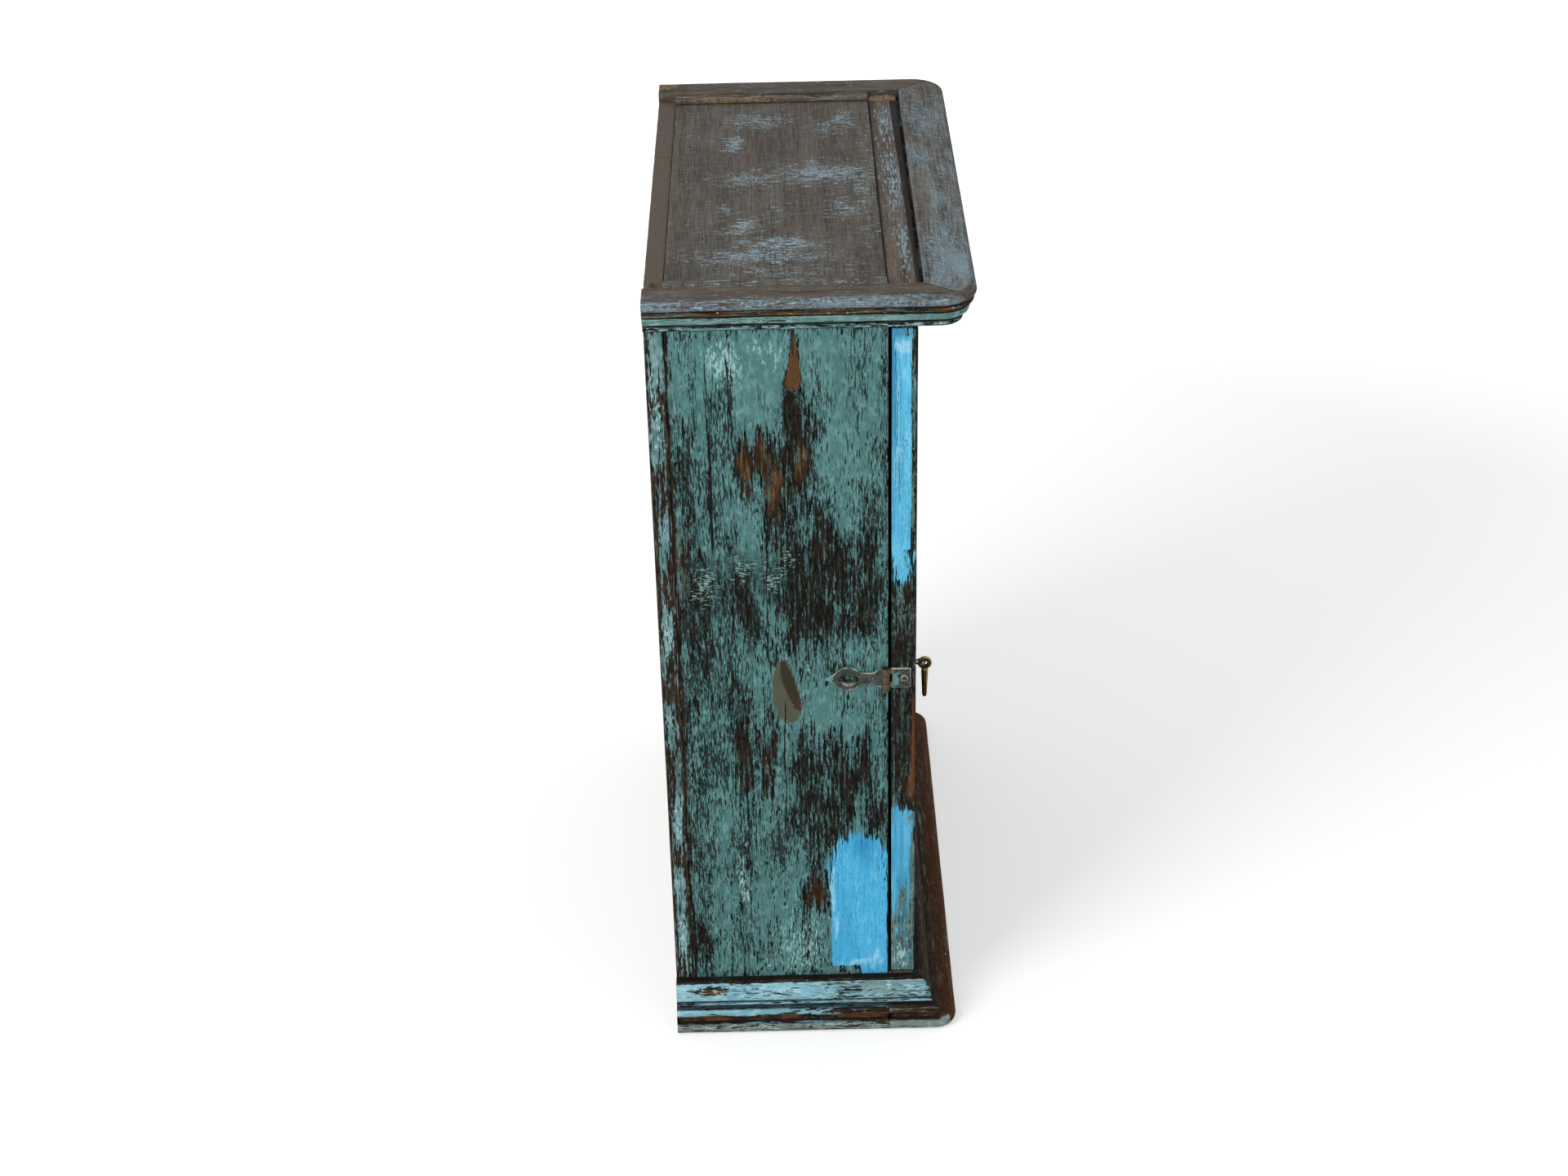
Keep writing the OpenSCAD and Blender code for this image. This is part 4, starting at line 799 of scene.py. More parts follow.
for node, side in (("cap_left", -1), ("cap_right", 1)):
    carry("nosed_" + node, side_cornice(cap_outline(side_in, 251.0), 84, side, False), cap_side_wood, node,
          cap_side_marks, 1, 0.4, 74 + side)
carry("nosed_cap_front", front_cornice(cap_outline(MITRE_IN[1], MITRE_OUT[1]), 100, MITRE_IN, False),
      cap_front_wood, "cap_front", cap_front_marks, 0, 0.4, 77)


# Bed mouldings
# The moulding under the cap is run from softwood: a bead of bare orange-brown wood, a slanted
# green-blue band, a cove and a pale lower bead, with black dirt and painted shade in the quirks between them.
bed_low = corners("bed_mould_left")[0][2]


def bed_outline(foot, back, way):
    """From the back: lower bead, cove, slanted band, quirk and upper bead, as distances out from `foot`."""
    lower_bead, cove = bow((0.75, 1.75), (1.7, 1.7), -80, 70, 6), bow((7, 4.2), (4.6, 4), 180, 92, 6)
    band, upper_bead = [(9.0, 14.7), (7.7, 15.2)], bow((9, 18.5), (2.5, 2.5), -75, 90, 8)
    out = np.concatenate([[(back, 0)], lower_bead, cove, band, upper_bead, [(back, 21)]])
    return soften([foot, bed_low] + out * [way, 1], 0.35, 1.2)


def bed_marks(flat):
    """Bare bead at the top, dirt and painted shade in the quirks, pale paint on the lower bead."""
    z = flat[:, 2]
    uneven = 0.5 * grained(flat, 1, 3, 24, 81)
    # Dark lines of dirt and painted shade in the quirks and the cove.
    quirk = sum(np.exp(-((z + uneven - at) / size) ** 2)
                for at, size in ((727.4, 1.0), (717.0, 1.6), (712.2, 0.8)))
    blotch = np.clip(0.5 + rough(flat / [14, 22, 5], 82), 0, 1)
    return {"fresh": np.where(z > 728.2, 0.9, 0.0) * (0.4 + 0.8 * blotch), "soil_and_shade": np.clip(quirk, 0, 1),
            "pale": np.where(z < 716, 0.75, 0.35) * blotch, "worn": np.where(z > 728.2, 0.7, 0.25 * blotch),
            "kept": np.where((z > 718.5) & (z < 727), 0.9, 0.2)}


bed_side_paint, bed_front_paint = (
    painted_wood(name, 1, coat=("#587f79", "#7ba29d", "#9cc4c6"), wear=wear, grime=0.7, seed=seed, flow=True)
    for name, wear, seed in (("side bed mould", 0.42, 83), ("front bed mould", 0.55, 84)))
for node, side in (("bed_mould_left", -1), ("bed_mould_right", 1)):
    rings = side_cornice(bed_outline(237.5, 0, 1), 90, side, True)
    carry("run_" + node, rings, bed_side_paint, node, bed_marks, 1, 0.3, 85 + side)
foot_y, rail_y = TURN[1] - CASE_R, -89.75
rings = front_cornice(bed_outline(foot_y, foot_y - rail_y, -1), 100, (237.5, rail_y), True)
carry("run_bed_mould_front", rings, bed_front_paint, "bed_mould_front", bed_marks, 0, 0.3, 88)


# Base mouldings: ovolo, scotia and plinth
# Three mouldings stacked round the foot: a pale blue quarter round with a thin bead, a hollow of
# dark wood under a blue edge, and a round-nosed plinth. Mitred or butted, and nailed on.
ovolo_low, scotia_low = corners("ovolo_left")[0][2], corners("scotia_left")[0][2]
case_x, face_y, case_y = 237.5, -86.75, -62.75
# Each outline as distances out from the case and heights: flat fillet, quarter ellipse, quirk and thin
# bead; sloped top, flat edge, hollow of a half ellipse, and toe; flat top and a half-round nose.
ovolo = soften(np.concatenate([[(0, 0), (0, 22), (6.6, 22)], bow((7, 4.0), (8.2, 16.8), 90, 3, 12),
                               [(13.7, 3.2)], bow((15.2, 1.3), (1.3, 1.3), 75, -80, 7)]), 0.3, 1.3)
scotia = soften(np.concatenate([[(0, 0), (0, 16), (17.5, 16), (23, 14), (23, 8.7)],
                                bow((24, 4.3), (5.5, 4.3), 96, 264, 12), [(21, 0)]]), 0.4, 1.3)
plinth = soften(np.concatenate([[(0, 13)], bow((17, 6.5), (6.5, 6.5), 88, -88, 14), [(0, 0)]]), 0.4, 1.6)


def straight_side(outline, low_z, end, count, side):
    """Profile carried from the back along y to a square end, or to a 45 degree mitre where end is None."""
    w, h = outline.T
    stop = face_y - w if end is None else end
    return join(side * (case_x + w), BACK_Y + np.linspace(0, 1, count)[:, None] * (stop - BACK_Y), low_z + h)


def round_front(side_off, front_off, heights, corner):
    """Profile carried round three sides: across the front, a quarter circle of radius `corner` at each turn,
    and back along both sides to the case line."""
    corner = np.maximum(corner, 0.05)
    turn_x, turn_y = case_x + side_off - corner, face_y - front_off + corner
    a, b, c = (np.linspace(start, 1, count)[:, None] for start, count in ((0, 74), (0.1, 10), (0.08, 13)))
    x = np.concatenate([a * turn_x, turn_x + corner * np.sin(b * np.pi / 2), turn_x + corner + 0 * c])
    y = np.concatenate([turn_y - corner + 0 * a, turn_y - corner * np.cos(b * np.pi / 2),
                        turn_y + c * (case_y - turn_y)])
    half = join(x, y, heights)
    return np.concatenate([half[:0:-1] * [-1, 1, 1], half])


def base_marks(flat):
    """Worn fillet, dirt and painted shade in the quirks, bare hollow, and traces of tan wood along the
    plinth's lower edge. The front begins where a point is further out from the case's front than from its
    side."""
    x, y, z = flat.T
    front = (face_y - y - np.where(z < 13.1, 15.5, 0) > np.abs(x) - case_x + 0.3) * 1.0
    near = (x < 0) * (1 - front)
    blotch = np.clip(0.5 + rough(flat / [16, 24, 6], 91), 0, 1)
    streak = np.clip(0.5 + grained(flat, 1, 2.5, 30, 92), 0, 1)
    # Dark lines of dirt and painted shade in the quirks.
    quirk = sum(np.exp(-((z - at) / size) ** 2)
                for at, size in ((32.4, 0.8), (28.7, 1.0), (14.0, 0.7), (50.9, 0.5)))
    hollow = ramp(np.abs(z - 18), 5.4, 0) ** 0.4
    flat_part, round_part, toe = (z > 23) & (z < 28), (z > 33.6) & (z < 49), z < 12
    ragged = np.clip(1.6 * (y - 10 + 60 * rough(flat / [20, 16, 3], 93)) / 60, -1.4, 1)
    stains = [near * spot(y, z, (y0, 18.5), (ry, 5.5)) for y0, ry in ((30, 12), (100, 18), (-40, 34))]
    brown = np.max(stains, axis=0)
    oval = near * spot(y + 4 * rough(flat / 5, 94), z, (101, 43), (17, 3.4))
    worn = 0.9 * hollow + 0.8 * (z > 49.4) + 0.2 * front * (z > 13)
    worn = worn + 0.8 * near * round_part * ramp(y, 14, -16)
    fresh = 0.8 * hollow * (streak > 0.55) + 0.5 * (z > 49.6) * blotch + 0.6 * (z < 2.2) * streak
    kept = (1 - front) * (0.55 * round_part + 0.8 * flat_part * ragged + 0.45 * toe)
    pale = (1 - front) * (0.7 * blotch * round_part + 0.5 * toe * blotch)
    return {"soil_and_shade": np.clip(quirk, 0, 1) * (1 - 0.5 * front), "worn": np.maximum(worn, 1.6 * oval),
            "fresh": np.maximum(np.maximum(fresh, 0.9 * brown), 0.8 * oval),
            "kept": kept + near * (y < case_y) * (0.9 * toe + 0.5 * flat_part) - 0.8 * sum(stains),
            "pale": np.maximum(pale, near * 1.5 * spot(y, z, (-62, 46), (2.6, 3))), "rust": 0.8 * brown,
            "grey": near * round_part * ramp(y, 30, -40) * (0.1 + 0.9 * streak)}


PLINTH_COAT = ("#6d7a76", "#8a9894", "#a9bab8")
base_side_paint = painted_wood(
    "side base mould", 1, ("#76a9b6", "#8fc3d2", "#b6dce6"), ("#17110c", "#35281d", "#6a5848"), grime=0.75,
    seed=93, flow=True, most=0.95, stains=(("grey", "#7d9a98"), ("rust", "#694228")))
base_front_paint = painted_wood("front base mould", 1, ("#66706a", "#7f8f8a", "#a3b5b3"),
                                ("#241c14", "#473a2e", "#685848"), 0.8, 0.6, seed=94, flow=True, most=0.82)
plinth_side_paint = painted_wood("side plinth", 1, PLINTH_COAT, ("#2e231a", "#57432f", "#7a6650"), 0.57, 0.7,
                                 seed=95, flow=True)
plinth_front_paint = painted_wood("front plinth", 1, PLINTH_COAT, ("#4a3020", "#64422b", "#785438"), 0.85,
                                  0.6, seed=96, flow=True, most=0.9)
for side, end in ((-1, "left"), (1, "right")):
    for name, outline, low_z, stop, count, finish, dent, seed in (
            ("ovolo_", ovolo, ovolo_low, None, 90, base_side_paint, 0.3, 97),
            ("scotia_", scotia, scotia_low, case_y, 80, base_side_paint, 0.35, 100),
            ("plinth_", plinth, 0, case_y, 80, plinth_side_paint, 0.4, 103)):
        rings = straight_side(outline, low_z, stop, count, side)
        carry("run_" + name + end, rings, finish, name + end, base_marks, 1, dent, seed + side)
w, h = ovolo.T
carry("run_ovolo_front", join((case_x + w) * np.linspace(-1, 1, 170)[:, None], face_y - w, ovolo_low + h),
      base_front_paint, "ovolo_front", base_marks, 0, 0.3, 106)
w, h = scotia.T
carry("run_scotia_front", round_front(w, w, scotia_low + h, 0 * w), base_front_paint, "scotia_front",
      base_marks, 0, 0.35, 107)
w, h = plinth.T
carry("run_plinth_front", round_front(w, np.where(w > 12, w + 15.5, w * 49.5 / 12 - 22), h, w - 3.5),
      plinth_front_paint, "plinth_front", base_marks, 0, 0.4, 108)


# Staple
# A bent iron wire whose two legs are driven into the near side board; the slot of the hasp drops
# over it. Hand-made, so it is not quite round, and the iron is dark with light worn edges.
def metal(name, tones, seed, shine=0.85, rough_low=0.38, edge="#7d7668", patch=None, tarnish=None):
    """Weathered metal: dark hollows, a middle tone in blotches, lighter on raised specks and edges, and
    where the marks say so a patch of paint or a brown tarnish."""
    made = Finish(name, **{"Metallic": shine, "Specular IOR Level": 0.5})
    blotch, speck = made.noise([5, 5, 5], seed + 1, 5, 0.65), made.noise([0.9, 0.9, 0.9], seed + 2, 3, 0.6)
    look = made.lay(tones[0], tones[1], blotch, 0.38, 0.6)
    look = made.lay(look, tones[2], speck, 0.52, 0.72, 0.7)
    if tarnish:
        look = made.lay(look, tarnish, made.mark("bronze"), most=0.85)
    look = made.lay(look, edge, made.about(speck, 1.2, made.mark("worn")), 0.35, 0.8)
    if patch:
        look = made.lay(look, patch, made.about(blotch, 2.2, made.mark("paint")), 0.4, 0.55)
    height = made.plus(speck, 0.5, made.times(blotch, 0.8))
    return made.done(look, made.plus(blotch, 0.3, rough_low), height, 0.25)


def wire(path, radius, around=10):
    """Round bar along a path: circles square to it, turned as little as can be from one to the next."""
    path = np.asarray(path, float)
    radius = np.broadcast_to(radius, len(path))
    way = np.gradient(path, axis=0)
    way /= np.linalg.norm(way, axis=1, keepdims=True)
    start = np.eye(3)[np.argmin(np.abs(way[0]))]
    side = np.empty_like(path)
    last = np.cross(way[0], start)
    for place, direction in enumerate(way):
        last = last - direction * (last @ direction)
        last = last / np.linalg.norm(last)
        side[place] = last
    up = np.cross(way, side)
    angle = np.linspace(0, 2 * np.pi, around, endpoint=False)[:, None]
    ring = np.cos(angle) * side[:, None] + np.sin(angle) * up[:, None]
    return path[:, None] + ring * radius[:, None, None]


def lathe(radius, height, middle, axis=2, count=20):
    """Rings round an axis through `middle`: each radius at its height along the axis."""
    angle = np.linspace(0, 2 * np.pi, count, endpoint=False)
    radius, height = np.asarray(radius)[:, None], np.asarray(height)[:, None]
    ring = join(radius * np.cos(angle), radius * np.sin(angle), height)
    return np.array(middle) + (ring if axis == 2 else ring[:, :, [2, 0, 1]])


def together(meshes):
    """Several closed meshes as one list of points and faces."""
    points, faces, count = [], [], 0
    for some, sides in meshes:
        flipped = volume(some, sides) < 0
        faces += [[int(v) + count for v in (side[::-1] if flipped else side)] for side in sides]
        points.append(some)
        count += len(some)
    return np.concatenate(points), faces


def rounded_tips(radius, count, blunt=0.55):
    """Radii along a bar of `count` places that draw in over its first and last two."""
    radii = np.full(count, float(radius))
    radii[[0, -1]] *= blunt
    radii[[1, -2]] *= 0.92
    return radii


iron = metal("weathered iron", ("#1d211b", "#454c43", "#69726a"), 121, 0.3, 0.5, "#a3a497", patch="#5f989a",
             tarnish="#54482f")
low, high = corners("staple")
middle, wire_r = (low + high) / 2, (high[2] - low[2]) / 2
span_r = (high[1] - low[1]) / 2 - wire_r
turn_x = low[0] + wire_r + span_r
leg = np.linspace(0, 1, 7)[:-1, None] * (turn_x - high[0], 0, 0) + (high[0] - 0.4, middle[1], middle[2])
arc = np.radians(np.linspace(-90, -270, 17))
crown = join(turn_x + span_r * np.cos(arc), middle[1] + span_r * np.sin(arc), middle[2])
path = np.concatenate([leg - (0, span_r, 0), crown, leg[::-1] + (0, span_r, 0)])
points, faces = skin(wire(path, rounded_tips(wire_r, len(path)) * 0.97, 12))
make_piece("bent_staple", points, faces, iron, "staple", {"worn": np.clip((-242 - points[:, 0]) / 8, 0, 0.6)})


# Door frame and pegs
# Two grooved stiles and three rails, joined by stub tenons with wooden pegs. The closing edge of
# the left stile is bright blue above and below, and bare and dark where hands took the hasp.
EDGE_SPOTS = {
    "worn": [(-76, 360, 14, 112, 0.78), (-69, 458, 3, 26, 0.9), (-78, 470, 4, 16, 0.8),
        (-68, 560, 1.2, 40, 0.5), (-81, 610, 2, 30, 0.5)],
    "fresh": [(-83, 300, 3.2, 40, 0.8), (-84, 420, 2.4, 34, 0.55), (-81, 255, 3.5, 14, 0.6)],
    "thin": [(-76, 345, 14, 60, 0.8), (-74, 709, 12, 6, 1), (-83.5, 650, 3.4, 60, 1), (-74, 120, 9, 60, 0.8)],
    # lit: painted highlights on the closing edge.
    "lit": [(-70.6, 640, 1.6, 46, 0.7), (-69, 585, 1.5, 20, 0.9), (-74, 64, 6, 4, 0.8)],
    "kept": [(-74, 709, 12, 6, 1.4), (-83.5, 650, 3.4, 60, 1)],
    "pale": [(-74, 72, 7, 14, 0.95)],
    "grey": [(-74, 92, 7, 30, 0.5), (-77, 150, 3, 60, 0.6)],
}
stile_paint = painted_wood(
    "door stile", 2, ("#4c6d69", "#60837f", "#7a9d9a"), ("#12100c", "#2f271c", "#57483a"), 0.38, 0.8,
    reach=3.0, seed=131, blues=("#55b3da", "#68c6ea", "#8cdaf5", "#2f7fa8"), most=0.6,
    stains=(("rust", "#6b4023"),), cracks=[(-68.6, 560, 700, 0.45, 6), (-70.5, 600, 662, 0.5, 8),
                                           (-80.8, 640, 684, 0.5, 7), (-72, 545, 600, 0.35, 8)])
rail_paint = painted_wood("door rail", 0, ("#45625e", "#557a76", "#6a918e"),
                          ("#140f0b", "#36281d", "#5a4431"), 0.42, 0.6, edge=0.6, reach=4.0, seed=132)
door_low, door_high = corners("door_stile_left")
rail_x = -door_high[0]


def front_marks(points, coarse, fine, worn, seed):
    """On the front face: ragged patches of blue, and wear where the teal has gone."""
    front = (points[:, 1] < door_low[1] + 2.0) * 1.0
    patch = np.clip(0.02 + 1.2 * rough(points / coarse, seed) + 0.5 * rough(points / fine, seed + 1), 0, 0.9)
    return {"blue": front * patch, "worn": front * 0.7 * np.clip(rough(points / worn, seed + 2), 0, 1)}


def stile_marks(points):
    """Two blue lengths on the closing edge, and blue brushed over the front by patches."""
    x, y, z = points.T
    marks, front = {}, front_marks(points, [30, 60, 74], [7, 9, 24], [24, 30, 80], 134)
    edge = (x < door_low[0] + 2.0) * 1.0
    add_spots(marks, y, z + 5 * grained(points, 2, 3, 18, 133), edge, EDGE_SPOTS)
    over = np.maximum(daub(y, z, (-81.6, 474), (-64.9, 703), 4, side=0.9, foot=15),
                      0.62 * daub(y, z, (-82.6, 690), (-64.9, 717), 2, side=0.9))
    under = daub(y, z, (-82.6, 58), (-65.2, 238), 3, side=0.9, top=12) * (0.4 + 0.6 * ramp(z, 108, 208))
    under = under * (1 - 0.75 * marks.pop("grey") * np.clip(0.6 + rough(points / [3, 3, 14], 146), 0, 1))
    line = np.clip(1.8 * grained(points, 2, 2.6, 34, 148), 0, 1)
    # Painted shade on the closing edge: darker blue along its back arris beside the case and at its top under
    # the cornice, with a few darker lines.
    deep = np.maximum(ramp(y, -69.2, -68) * np.clip((z - 560) / 60, 0.3, 1),
                      np.maximum(z > 702.5, 0.5 * line))
    # Painted highlight: paler blue on a block near the top and down the middle of the edge.
    lit = np.maximum(0.95 * daub(y, z, (-81.2, 686.5), (-67.4, 699.5), 3, side=0.7),
                     0.35 * (z > 560) * (y < -68.2))
    rust = np.maximum(spot(y, z, (-84.5, 300), (1.8, 70)), spot(y, z, (-83, 262), (4, 16)))
    return {**marks, "rust": edge * rust, "lit": np.maximum(marks["lit"], edge * lit),
            "blue": np.maximum(edge * np.maximum(over, under), front["blue"] * np.clip(
                (x - door_low[0]) / 9 - 0.6, 0, 1)),
            "worn": np.maximum(marks["worn"], front["worn"]),
            "kept": np.maximum(marks["kept"], edge * (z < 236)) + 0.9 * edge * (y > -68),
            "deep": edge * ((z > 520) * deep + (z < 260) * (0.6 + 0.4 * rough(points / [3, 3, 30], 147)))}


def rail_marks(points):
    """Blue brushed over the front by patches, as on the stiles."""
    return front_marks(points, [74, 60, 30], [24, 9, 7], [80, 30, 24], 137)


for end, seed, step, length in (("left", 140, 1.5, 3.5), ("right", 141, 3, 7)):
    board("door_stile_" + end, 2, stile_paint, "worn_", marks=stile_marks, step=step, length=length,
          arris=1.6, dent=0.35, seed=seed)
for end, seed in (("top", 142), ("middle", 143), ("bottom", 144)):
    board("door_rail_" + end, 0, rail_paint, "worn_", half=rail_x, marks=rail_marks, step=3, length=7,
          arris=1.3, dent=0.35, seed=seed)

peg_low, peg_high = corners("door_pegs")
peg_r, pegs = 2.25, []
for foot, height in ((53, 76), (341.06, 58), (648, 62)):
    for z in (foot + height / 3, foot + height * 2 / 3):
        for side in (-1, 1):
            path = [(side * (peg_high[0] - peg_r), y, z)
                    for y in (peg_high[1] - 1, peg_low[1] + 0.7, peg_low[1] + 0.25, peg_low[1])]
            rings = wire(path, peg_r * np.array([1, 1, 0.93, 0.7]), 12)
            cut = rough(rings.reshape(-1, 3) / 1.7, 145).reshape(*rings.shape[:2], 1)
            rings += 0.12 * cut * [1, 0, 1]
            pegs.append(skin(rings))
make_piece("whittled_pegs", *together(pegs), rail_wood, "door_pegs")


# Door panels and beads
# Two raised panels float in the grooves of the frame, each held by four quarter-round beads that
# are mitred at the corners. Painted teal like the case, with the blue of the frame on the beads.
panel_paint = painted_wood("door panel", 2, wear=0.33, seed=151)
bead_x = painted_wood("bead, along x", 0, ("#3d84a4", "#58aace", "#74c4e4"), wear=0.4, grime=0.4, seed=152)
bead_w, bevel_w, flat_w, edge_y, back_y = 7.0, 26.0, 7.5, -78.85, -73.15


def raised_panel(low_z, high_z, seed):
    """Front: y from the least distance d to an edge of the opening, flat, then a bevel, then a flat
    field. Back: flat. Both meet in a narrow edge."""
    def lines(low, high):
        bends = [low + flat_w, low + flat_w + bevel_w, high - flat_w, high - flat_w - bevel_w]
        even = np.linspace(low, high, int((high - low) / 2.4))
        return np.unique(np.round(np.concatenate([even, bends]), 3))
    grid = np.meshgrid(lines(-rail_x, rail_x), lines(low_z, high_z), indexing="ij")
    x, z = (places.ravel() for places in grid)
    d = np.minimum(rail_x - np.abs(x), np.minimum(z - low_z, high_z - z))
    points = join(x, edge_y - 5.3 * ramp(d, flat_w, flat_w + bevel_w), z)
    points[:, 1] += 0.35 * (0.5 + 0.5 * grained(points, 2, 9, 60, seed)) * (d > 0.1)
    count = len(points)
    index = np.arange(count).reshape(grid[0].shape)
    rim = np.concatenate([index[0], index[1:, -1], index[-1, -2::-1], index[-2:0:-1, 0]])
    after = np.roll(rim, -1)
    wall = np.stack([rim, after, after + count, rim + count], 1)[:, ::-1]
    faces = np.concatenate([weave(index), weave(index)[:, ::-1] + count, wall])
    ridge = np.concatenate([np.minimum(np.abs(d - flat_w - bevel_w), np.abs(d - flat_w)), np.full(count, 30)])
    return np.concatenate([points, join(x, back_y, z)]), faces, ridge


for end, seed, low_z, high_z in (("lower", 153, 129.0, 341.06), ("upper", 155, 399.06, 648.0)):
    points, faces, ridge = raised_panel(low_z, high_z, seed)
    front = (points[:, 1] < -76) * 1.0
    fade = np.clip(rough(points / [40, 99, 110], seed + 1) * 1.2, 0, 1)
    streaks = np.clip(rough(points / [9, 99, 46], seed + 2) * 2 - 0.9, 0, 1)
    scuffs = np.clip(rough(points / [30, 99, 30], seed + 3) * 1.6 - 0.5, 0, 1)
    make_piece("raised_door_panel_" + end, points, faces, panel_paint, "door_panel_" + end, {
        "worn": front * 0.8 * fade, "arris": ridge * 1.6 + 2.6, "fresh": front * 0.75 * streaks,
        "kept": 0.6 * front * (1 - fade), "pale": front * 0.8 * scuffs})
    quarter = bow((0, 0), (bead_w, bead_w), 3, 87, 8)
    off, out = soften(np.concatenate([[(0, 0), (bead_w, 0)], quarter, [(0, bead_w)]]), 0.25, 1.2).T
    span = np.linspace(-1, 1, 60)[:, None]
    across, up = span * (rail_x - off), (low_z + high_z) / 2 + span * ((high_z - low_z) / 2 - off)
    points, faces = together([skin(join(x, -79 - out, z)) for x, z in (
        (across, low_z + off), (across, high_z - off), (off - rail_x, up), (rail_x - off, up))])
    make_piece("mitred_door_beads_" + end, points, faces, bead_x, "door_beads_" + end,
               {"arris": np.full(len(points), 9.0), "worn": np.clip(rough(points / 22, seed + 4), 0, 1),
                "soil_and_shade": 0.8 * (points[:, 1] > -79.6)})


# Hinges and nails
# Two butt hinges on the far side: leaves let into the case and the door, screws, and a pin with two
# heads. Rough-headed nails hold the back boards. All are dark iron.
dark_iron = metal("dark iron", ("#1a1714", "#37332c", "#5a5346"), 161)
for node in ("case_leaf_upper", "case_leaf_lower", "case_leaf_screws", "hinge_pins", "door_leaf_upper",
             "door_leaf_lower", "door_leaf_screws", "back_nails"):
    for slot in frame["nodes"][node].material_slots:
        slot.material = dark_iron


# Hasp
# A leaf riveted to the closing edge of the door, a pin, and a strap cut from sheet iron: a flare at
# the knuckle, a narrow neck, a round lobe with a slot for the staple, and a pointed tip.
def plate(outline, holes, thick, ease=0.3, spacing=1.2):
    """Flat sheet with holes, as (u, v, height). Both faces are triangles between points `spacing` apart
    and the rings drawn in by `ease`, and walls join them. Rings run with the metal on their left."""
    rings, walls, count = [], [], 0
    for ring, way in [(outline, 1)] + [(hole, -1) for hole in holes]:
        u, v = ring.T
        turns = np.sign((u * np.roll(v, -1) - v * np.roll(u, -1)).sum())
        rings.append(ring if turns == way else ring[::-1])
    drawn = []
    for ring in rings:
        left = (np.roll(ring, -1, axis=0) - np.roll(ring, 1, axis=0)) @ [[0, 1], [-1, 0]]
        drawn.append(ring + ease * left / np.linalg.norm(left, axis=1, keepdims=True))

    def metal_at(places, soft):
        return inside(*places.T, drawn[0], soft) - sum(inside(*places.T, hole, soft) for hole in drawn[1:])
    u, v = np.meshgrid(*(np.arange(low, high, spacing) for low, high in zip(outline.min(0), outline.max(0))))
    grid = np.stack([(u + spacing / 2 * (np.arange(len(u)) % 2)[:, None]).ravel(), v.ravel()], 1)
    flat = np.concatenate(drawn + [grid[metal_at(grid, 0.6) > 0.99]])
    starts = np.cumsum([0] + [len(ring) for ring in drawn]).tolist()
    edges = [(start + i, start + (i + 1) % len(ring))
             for start, ring in zip(starts, drawn) for i in range(len(ring))]
    found = delaunay_2d_cdt([Vector(place) for place in flat], edges, [], 0, 1e-6)
    triangles = np.array([sources[0] for sources in found[3]])[np.array(found[2])]
    triangles, size = triangles[metal_at(flat[triangles].mean(1), 0.001) > 0.5], len(flat)
    edge = np.concatenate(rings)
    levels = [(flat, thick / 2), (flat, -thick / 2), (edge, thick / 2 - ease), (edge, ease - thick / 2)]
    points = np.concatenate([join(*place.T, height) for place, height in levels])
    for ring in rings:
        i = np.arange(len(ring)) + count
        j = np.roll(i, -1)
        rows = (0, 2 * size, 2 * size + len(edge), size)
        for upper, lower in zip(rows, rows[1:]):
            walls.append(np.stack([j + upper, i + upper, i + lower, j + lower], 1))
        count += len(ring)
    groups = [triangles, triangles[:, ::-1] + size, np.concatenate(walls)]
    return points, [face for group in groups for face in group.tolist()]


def ring_of(middle, radius, count=24):
    """Round hole, as a closed ring of points."""
    return bow(middle, (radius, radius), 0, 360 - 360 / count, count)


hasp_x, hasp_y, hasp_z = -241.2, -60.55, 378.0
side_face, rivet_y, sheet_t = -237.5, -76.45, 1.5
outline = np.array([(-82.1, -9.6), (-82.35, -3), (-82.0, 2), (-82.3, 9.4), (-78, 10), (-70, 9.8), (-65.4, 10),
                    (-65.25, 7.5), (-66.0, 7.3), (-66.0, -7.3), (-65.25, -7.5), (-65.5, -9.9), (-72, -9.7),
                    (-79, -10)])


def rim_of(places, outline, width):
    """1 at the outline of a sheet and 0 inside it."""
    return 2 - 2 * inside(*places.T, outline, width)


def knuckle(low_z, high_z, radius):
    """Upright rolled eye: a lathe of four rings, drawn in at both ends."""
    return skin(lathe(radius * np.array([0.9, 1, 1, 0.9]), [low_z, low_z + 0.35, high_z - 0.35, high_z],
                      (hasp_x, hasp_y, 0), count=22))


def wrap(low_z, high_z, near_y, back=0.0):
    """Tongue of the sheet from its edge to the side of the eye, as a flat strip of even thickness."""
    x0, x1 = side_face - back - sheet_t, side_face - back - 0.1
    heights = [low_z, low_z, high_z, high_z]
    return skin(join([x0, x1, x1, x0], np.linspace(near_y, hasp_y, 5)[:, None], heights))


leaf, faces = plate(outline, [ring_of((rivet_y, 0), 1.6)], sheet_t)
leaf[:, 2] += (0.25 * np.clip(rim_of(leaf[:, :2], outline, 1.0), 0, 1) * (leaf[:, 2] > 0)
               + 0.1 * rough(leaf / [2.5, 2.5, 9], 170))
leaf = join(side_face - sheet_t / 2 - leaf[:, 2].clip(-sheet_t / 2), leaf[:, 0], hasp_z + leaf[:, 1])
eye = 7.15
points, faces = together([(leaf, faces), knuckle(367.0, 367.0 + eye, 3.5), knuckle(389.0 - eye, 389.0, 3.5),
                          wrap(368.2, 367.0 + eye - 0.3, -65.6), wrap(389.0 - eye + 0.3, 387.8, -65.6)])
x, y, z = points.T
rubbed = 0.1 + 0.4 * rough(points / 3, 171) + rim_of(points[:, 1:], outline + [0, hasp_z], 1.0) * (y < -65)
